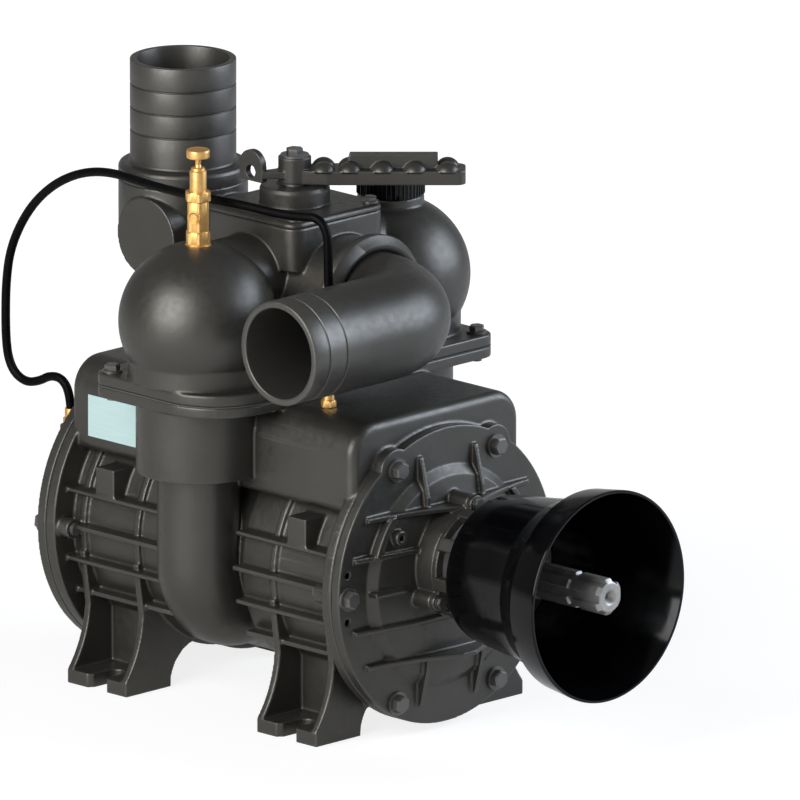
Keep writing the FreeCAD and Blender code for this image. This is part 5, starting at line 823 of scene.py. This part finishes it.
def bolt_group(name, node, places, turn, shank, grip):
    """One group of bolts; places in millimetres, turn in degrees about X for the way the heads point."""
    mesh = bpy.data.meshes.new(name)
    mesh.from_pydata([Vector(place) * MM for place in places], [], [])
    piece = object_from(name, mesh)
    modifier = piece.modifiers.new("bolts", "NODES")
    modifier.node_group = bolts_on_places
    values = {key: factor * shank * MM for key, factor in BOLT_SIZES.items()}
    values["Grip"] = grip * MM
    values["Turn"] = (math.radians(turn), 0.0, 0.0)
    values["Finish"] = finishes["bolt_steel"]
    for socket in bolts_on_places.interface.items_tree:
        if socket.in_out == "INPUT" and socket.name in values:
            modifier[socket.identifier] = values[socket.name]
    mesh = plain_mesh(piece)
    mesh.shade_smooth()
    mesh.set_sharp_from_angle(angle=math.radians(20))
    stand_for(piece, node)


COVER_FACE = 200.5
BOLT_CIRCLE = 130.0
COVER_BOLTS = 6
MANIFOLD_TOP = 326.0
MANIFOLD_BOLTS = ((-172, 69), (172, 69), (172, -69), (-95, -69))
VALVE_COVER_TOP = 471.0
VALVE_BOLT_OFFSET = 50.0


def cover_bolt_places(front):
    """Places on the bolt circle of a cover."""
    angles = [math.radians(360 * index / COVER_BOLTS) for index in range(COVER_BOLTS)]
    return [(BOLT_CIRCLE * math.cos(angle), front, CASING_HEIGHT + BOLT_CIRCLE * math.sin(angle))
            for angle in angles]


bolt_group("front_cover_bolts_set", "front_cover_bolts", cover_bolt_places(-COVER_FACE),
           turn=90, shank=6.0, grip=41.0)
bolt_group("rear_cover_bolts_set", "rear_cover_bolts", cover_bolt_places(COVER_FACE),
           turn=-90, shank=6.0, grip=41.0)
bolt_group("manifold_bolts_set", "manifold_bolts", [(x, y, MANIFOLD_TOP) for x, y in MANIFOLD_BOLTS],
           turn=0, shank=5.0, grip=27.0)
bolt_group("valve_cover_bolts_set", "valve_cover_bolts",
           [(x, y, VALVE_COVER_TOP) for x in (-VALVE_BOLT_OFFSET, VALVE_BOLT_OFFSET)
            for y in (-VALVE_BOLT_OFFSET, VALVE_BOLT_OFFSET)], turn=0, shank=4.0, grip=20.0)


# Oil filler cap with its ribbed rim

CAP_SEAT = 457.0
CAP_TOP = 479.0
CAP_RADIUS = 32.4
CAP_PLUG_RADIUS = 21.7
CAP_PLUG_DEPTH = 9.0
CAP_RIBS = 48
CAP_RIB_RADIUS = 0.9


def filler_cap():
    """Moulded cap with a dished top, its plug in the neck and fine ribs round its rim."""
    wall = CAP_RADIUS - 0.8
    profile = [
        (0, CAP_SEAT - CAP_PLUG_DEPTH), (CAP_PLUG_RADIUS, CAP_SEAT - CAP_PLUG_DEPTH),
        (CAP_PLUG_RADIUS, CAP_SEAT), (wall, CAP_SEAT), (wall, CAP_TOP - 4), (CAP_RADIUS - 2.2, CAP_TOP - 1.2),
        (CAP_RADIUS - 5, CAP_TOP), (CAP_RADIUS - 9, CAP_TOP), (CAP_RADIUS - 10, CAP_TOP - 1.2),
        (0, CAP_TOP - 1.2)]
    piece = turned("filler_cap_moulded", profile, (PORT_OFFSET, 0, 0), ease=0.7, closed=False)
    form = bmesh.new()
    axis = Matrix.Translation((PORT_OFFSET * MM, 0, 0))
    outward = Matrix.Translation(((CAP_RADIUS - CAP_RIB_RADIUS) * MM, 0, (CAP_SEAT + CAP_TOP - 3) / 2 * MM))
    for index in range(CAP_RIBS):
        place = axis @ Matrix.Rotation(2 * math.pi * index / CAP_RIBS, 4, "Z") @ outward
        bmesh.ops.create_cone(form, cap_ends=True, segments=8, radius1=CAP_RIB_RADIUS * MM,
                              radius2=CAP_RIB_RADIUS * MM, depth=(CAP_TOP - CAP_SEAT - 5) * MM, matrix=place)
    stand_for(added(piece, finished("cap_ribs", form)), "oil_filler_cap")


filler_cap()


# Hexagons and turned brass

HEX_CHAMFER = 0.9
LUBRICATOR_FOOT = 452.0
LUBRICATOR_TURN = 22.0
SIGHT_HEIGHT = 28.5
FITTING_ACROSS = 13.0
FITTING_HEX_HEIGHT = 7.0


def off_sixth(angle):
    """Angle from the nearest of six even directions."""
    return (angle + math.pi / 6) % (math.pi / 3) - math.pi / 6


def hexagon_section(form, across, limit, at, height, turn):
    """Ring of a hexagon's skin, its corners cut back to a radius."""
    def place(angle):
        off_corner = abs(off_sixth(angle - math.radians(turn)))
        reach = min(across / 2 / math.cos(off_corner - math.pi / 6), limit)
        return Vector((at[0] + reach * math.cos(angle), at[1] + reach * math.sin(angle), at[2] + height))

    return ring_of(form, steps=72, place=place)


def hexagon(name, across, low, high, at, turn=0.0):
    """Upright hexagon with both its ends chamfered, turned by some degrees."""
    form = bmesh.new()
    corner = across / math.sqrt(3) + 1
    inset = across / 2 - 0.4
    edge = across / 2 - 0.2
    capped_rings(form, [hexagon_section(form, across, limit, at, height, turn) for height, limit in (
        (low, inset), (low, edge), (low + HEX_CHAMFER, corner), (high - HEX_CHAMFER, corner), (high, edge),
        (high, inset))])
    return finished(name, form, sharp_angle=25)


def lubricator():
    """Drip lubricator on the left dome: six-sided brass body, a sight window either side, a flat knob."""
    at = (-PORT_OFFSET, 0, LUBRICATOR_FOOT)
    stem = [(0, -7), (4.5, -7), (4.5, 0), (12.5, 0), (12.5, 1.6), (9.3, 2.2), (9.3, 43), (7.9, 52),
            (7.9, 71.8), (6.4, 72.4), (6.4, 74.8), (3.0, 75.3), (2.7, 78), (0, 78)]
    rim = [(5.2, 9.2), (6.5, 9.2), (6.5, 10.1), (5.9, 10.6), (5.2, 10.4)]
    lens = [(0, 8.6), (5.1, 8.6), (5.1, 10.0), (4.6, 10.9), (3.2, 11.8), (1.6, 12.2), (0, 12.3)]
    knob = [(0, 78), (2.7, 78), (2.7, 84.4), (10.3, 84.4), (10.9, 85.2), (10.9, 91.4), (10.1, 92.6),
            (8.6, 92.6), (7.6, 91.9), (0, 91.9)]
    body = turned("lubricator_brass", stem, at, ease=0.4, steps=64, closed=False)
    flat_to_sight = LUBRICATOR_TURN + 30
    brass = [hexagon(name, across, low, high, at, flat_to_sight) for name, across, low, high in (
        ("base_hex", 21.4, 1.6, 14.2), ("body_hex", 19.2, 13.6, 43.4), ("collar_hex", 22.4, 43.0, 52.4))]
    middle = (at[0], at[1], LUBRICATOR_FOOT + SIGHT_HEIGHT)
    way = Vector((math.cos(math.radians(LUBRICATOR_TURN)), math.sin(math.radians(LUBRICATOR_TURN)), 0))
    lenses = []
    for outward in (-way, way):
        brass.append(turned("sight_rim", rim, middle, outward, ease=0.2, steps=48))
        lenses.append(turned("sight_lens", lens, middle, outward, ease=0.2, steps=48, closed=False))
    stand_for(added(body, *brass), "lubricator_body")
    stand_for(added(*lenses), "lubricator_glass")
    stand_for(turned("knob_brass", knob, at, ease=0.5, steps=64, closed=False), "lubricator_knob")


lubricator()


def oil_fitting(name, node, at):
    """Brass fitting that takes one end of the hose."""
    profile = [(0, -9), (4.5, -9), (4.5, 0), (6.3, 0), (6.3, 7), (5.5, 7.4), (5.5, 16), (0, 16)]
    piece = turned(name, profile, at, ease=0.4, steps=48, closed=False)
    stand_for(added(piece, hexagon(f"{name}_hex", FITTING_ACROSS, 0, FITTING_HEX_HEIGHT, at)), node)


oil_fitting("fitting_front_brass", "oil_fitting_front", (-70.0, -115.0, 307.0))
oil_fitting("fitting_rear_brass", "oil_fitting_rear", (-52.0, 247.0, 220.0))


# Drive shaft with six splines

SPLINE_RADIUS = 17.45
SPLINE_ROOT = 14.6
SPLINE_HALF_WIDTH = 4.35
GROOVE_RADIUS = 15.0


def spline_section(form, ahead, outer, root):
    """Section of the shaft a distance ahead: straight-sided teeth between a root and an outer radius."""
    def place(angle):
        flank = SPLINE_HALF_WIDTH / max(abs(math.sin(off_sixth(angle))), 0.1)
        reach = min(outer, max(root, flank))
        return Vector((reach * math.sin(angle), -ahead, SHAFT_HEIGHT + reach * math.cos(angle)))

    return ring_of(form, steps=144, place=place)


def rotor_shaft():
    """The CAD shaft carries the rotor inside; outside, the splines are cut with a cup-shaped centre hole."""
    form = bmesh.new()
    join_rings(form, [spline_section(form, ahead, outer, root) for ahead, outer, root in (
        (415.9, 8.0, 8.0), (416, 13.2, 13.2), (415.2, 14.6, 14.2), (412.5, SPLINE_RADIUS, SPLINE_ROOT),
        (381.5, SPLINE_RADIUS, SPLINE_ROOT), (380.5, GROOVE_RADIUS, SPLINE_ROOT),
        (375.5, GROOVE_RADIUS, SPLINE_ROOT), (374.5, SPLINE_RADIUS, SPLINE_ROOT),
        (330, SPLINE_RADIUS, SPLINE_ROOT), (326, SPLINE_RADIUS, 17.0), (325, 18.2, 18.2), (318, 20.0, 20.0),
        (248, 20.0, 20.0), (247, 22.0, 22.0))], False)
    piece = finished("shaft_splines", form, sharp_angle=30)
    centre = turned("shaft_centre", [(0, 404), (2.5, 405.5), (2.5, 410), (6.5, 415.4), (8.0, 415.9)],
                    SHAFT_AXIS, TO_TRACTOR, ease=0.3, steps=48, closed=False)
    rear = turned("shaft_rear", [(22.0, -247), (22.5, -246), (22.5, -207), (25, -207), (25, 207), (22.5, 207),
                                 (22.5, 236), (20, 236.5), (8, 237), (8, 258), (0, 258)],
                  SHAFT_AXIS, TO_REAR, ease=0.6, steps=72, closed=False)
    stand_for(added(piece, centre, rear), "rotor_shaft")


rotor_shaft()


# Oil hose: the same route as the solid's, in metres

HOSE_ROUTE = [
    (-0.0700, -0.1150, 0.3230), (-0.0700, -0.1155, 0.3705), (-0.0710, -0.1160, 0.4315),
    (-0.0715, -0.1155, 0.4895), (-0.0800, -0.0740, 0.4845), (-0.0900, -0.0180, 0.4880),
    (-0.0940, 0.0245, 0.4875), (-0.0920, 0.0620, 0.4855), (-0.0865, 0.1160, 0.4845),
    (-0.0800, 0.1625, 0.4850), (-0.0770, 0.2030, 0.4775), (-0.0750, 0.2400, 0.4610),
    (-0.0725, 0.2720, 0.4370), (-0.0700, 0.2960, 0.4085), (-0.0680, 0.3120, 0.3785),
    (-0.0660, 0.3190, 0.3475), (-0.0635, 0.3225, 0.3165), (-0.0615, 0.3240, 0.2920),
    (-0.0602, 0.3225, 0.2725), (-0.0590, 0.3150, 0.2585), (-0.0576, 0.3005, 0.2520),
    (-0.0562, 0.2845, 0.2560), (-0.0552, 0.2715, 0.2635), (-0.0541, 0.2565, 0.2635),
    (-0.0528, 0.2475, 0.2510), (-0.0520, 0.2470, 0.2360)]
HOSE_TUBE_RADIUS = 0.00425


def oil_hose():
    """Smooth curve along the route, from its first point to its last."""
    curve = bpy.data.curves.new("oil_hose_rubber", "CURVE")
    curve.dimensions = "3D"
    curve.resolution_u = 16
    curve.bevel_depth = HOSE_TUBE_RADIUS
    curve.bevel_resolution = 6
    curve.use_fill_caps = True
    spline = curve.splines.new("NURBS")
    spline.points.add(len(HOSE_ROUTE) - 1)
    for point, place in zip(spline.points, HOSE_ROUTE):
        point.co = (*place, 1.0)
    spline.order_u = 3
    spline.use_endpoint_u = True
    piece = object_from("oil_hose_rubber", curve)
    stand_for(piece, "oil_hose")


oil_hose()


# Floor and light

FLOOR_REACH = 12.0
FLOOR_GREY = 0.62
FLOOR_GLOW = 0.55
FLOOR_GLOSS = 0.35
STUDIO_GLOSS = 0.12
SKY_LIGHT = 0.07
LIT_HEIGHT = 0.28


def background_rays(tree, gloss_share):
    """Share of the plain background that a ray shows: all when seen or through glass, less when reflected."""
    path = tree.nodes.new("ShaderNodeLightPath").outputs
    rays = math_node(tree, "MULTIPLY", path["Is Glossy Ray"], gloss_share)
    for kind in ("Is Camera Ray", "Is Transmission Ray"):
        rays = math_node(tree, "MAXIMUM", path[kind], rays)
    return rays


def mixed_shaders(tree, factor, first, second):
    mix = tree.nodes.new("ShaderNodeMixShader")
    for socket, source in zip(mix.inputs, (factor, first, second)):
        tree.links.new(source, socket)
    return mix.outputs["Shader"]


def pale_floor():
    """White floor: lit by the lamps, and aglow where it is seen, so that it runs into the background."""
    mesh = bpy.data.meshes.new("floor")
    corners = [(-1, -1), (1, -1), (1, 1), (-1, 1)]
    mesh.from_pydata([(x * FLOOR_REACH, y * FLOOR_REACH, 0) for x, y in corners], [], [(0, 1, 2, 3)])
    floor = object_from("floor", mesh)
    material = bpy.data.materials.new("pale_floor")
    material.use_nodes = True
    tree = material.node_tree
    shader = tree.nodes["Principled BSDF"]
    shader.inputs["Base Color"].default_value = (FLOOR_GREY, FLOOR_GREY, FLOOR_GREY, 1)
    shader.inputs["Roughness"].default_value = 0.9
    glow = tree.nodes.new("ShaderNodeEmission")
    share = math_node(tree, "MULTIPLY", background_rays(tree, FLOOR_GLOSS), FLOOR_GLOW)
    surface = mixed_shaders(tree, share, shader.outputs["BSDF"], glow.outputs["Emission"])
    tree.links.new(surface, tree.nodes["Material Output"].inputs["Surface"])
    away = tree.nodes.new("ShaderNodeVectorMath")
    away.operation = "LENGTH"
    spread = tree.nodes.new("ShaderNodeMapRange")
    for key, value in (("From Min", 0.4), ("From Max", 2.0), ("To Min", 1.50), ("To Max", 1.82)):
        spread.inputs[key].default_value = value
    tree.links.new(tree.nodes.new("ShaderNodeTexCoord").outputs["Object"], away.inputs[0])
    tree.links.new(away.outputs["Value"], spread.inputs["Value"])
    tree.links.new(spread.outputs["Result"], glow.inputs["Strength"])
    mesh.materials.append(material)


def soft_light(name, azimuth, elevation, distance, width, height, power, colour=(1.0, 1.0, 1.0)):
    """A softbox that looks at the pump; azimuth counts from the camera's side, to the right."""
    data = bpy.data.lights.new(name, "AREA")
    data.shape = "RECTANGLE"
    data.size, data.size_y = width, height
    data.energy = power
    data.color = colour
    lamp = bpy.data.objects.new(name, data)
    scene.collection.objects.link(lamp)
    back = way_to(CAMERA_AZIMUTH + math.radians(azimuth), math.radians(elevation))
    lamp.location = Vector((0, 0, LIT_HEIGHT)) + back * distance
    lamp.rotation_mode = "QUATERNION"
    lamp.rotation_quaternion = back.to_track_quat("Z", "Y")


def studio():
    """White where it is seen, a faint grey light from all round, and four softboxes."""
    world = bpy.data.worlds.new("studio")
    scene.world = world
    world.use_nodes = True
    tree = world.node_tree
    sky = tree.nodes["Background"]
    white = tree.nodes.new("ShaderNodeBackground")
    for background, strength in ((sky, SKY_LIGHT), (white, 1.0)):
        background.inputs["Color"].default_value = (1.0, 1.0, 1.0, 1)
        background.inputs["Strength"].default_value = strength
    surface = mixed_shaders(tree, background_rays(tree, STUDIO_GLOSS), sky.outputs["Background"],
                            white.outputs["Background"])
    tree.links.new(surface, tree.nodes["World Output"].inputs["Surface"])
    soft_light("key_left", azimuth=-42, elevation=24, distance=2.2, width=1.7, height=1.7, power=50)
    soft_light("rim_right", azimuth=96, elevation=22, distance=2.4, width=1.8, height=1.4, power=40,
               colour=(0.90, 1.0, 1.18))
    soft_light("front", azimuth=8, elevation=6, distance=2.6, width=2.4, height=1.6, power=2.5)
    soft_light("back", azimuth=180, elevation=10, distance=2.8, width=3.0, height=1.0, power=2.5)


pale_floor()
studio()
scene.view_settings.view_transform = "Standard"
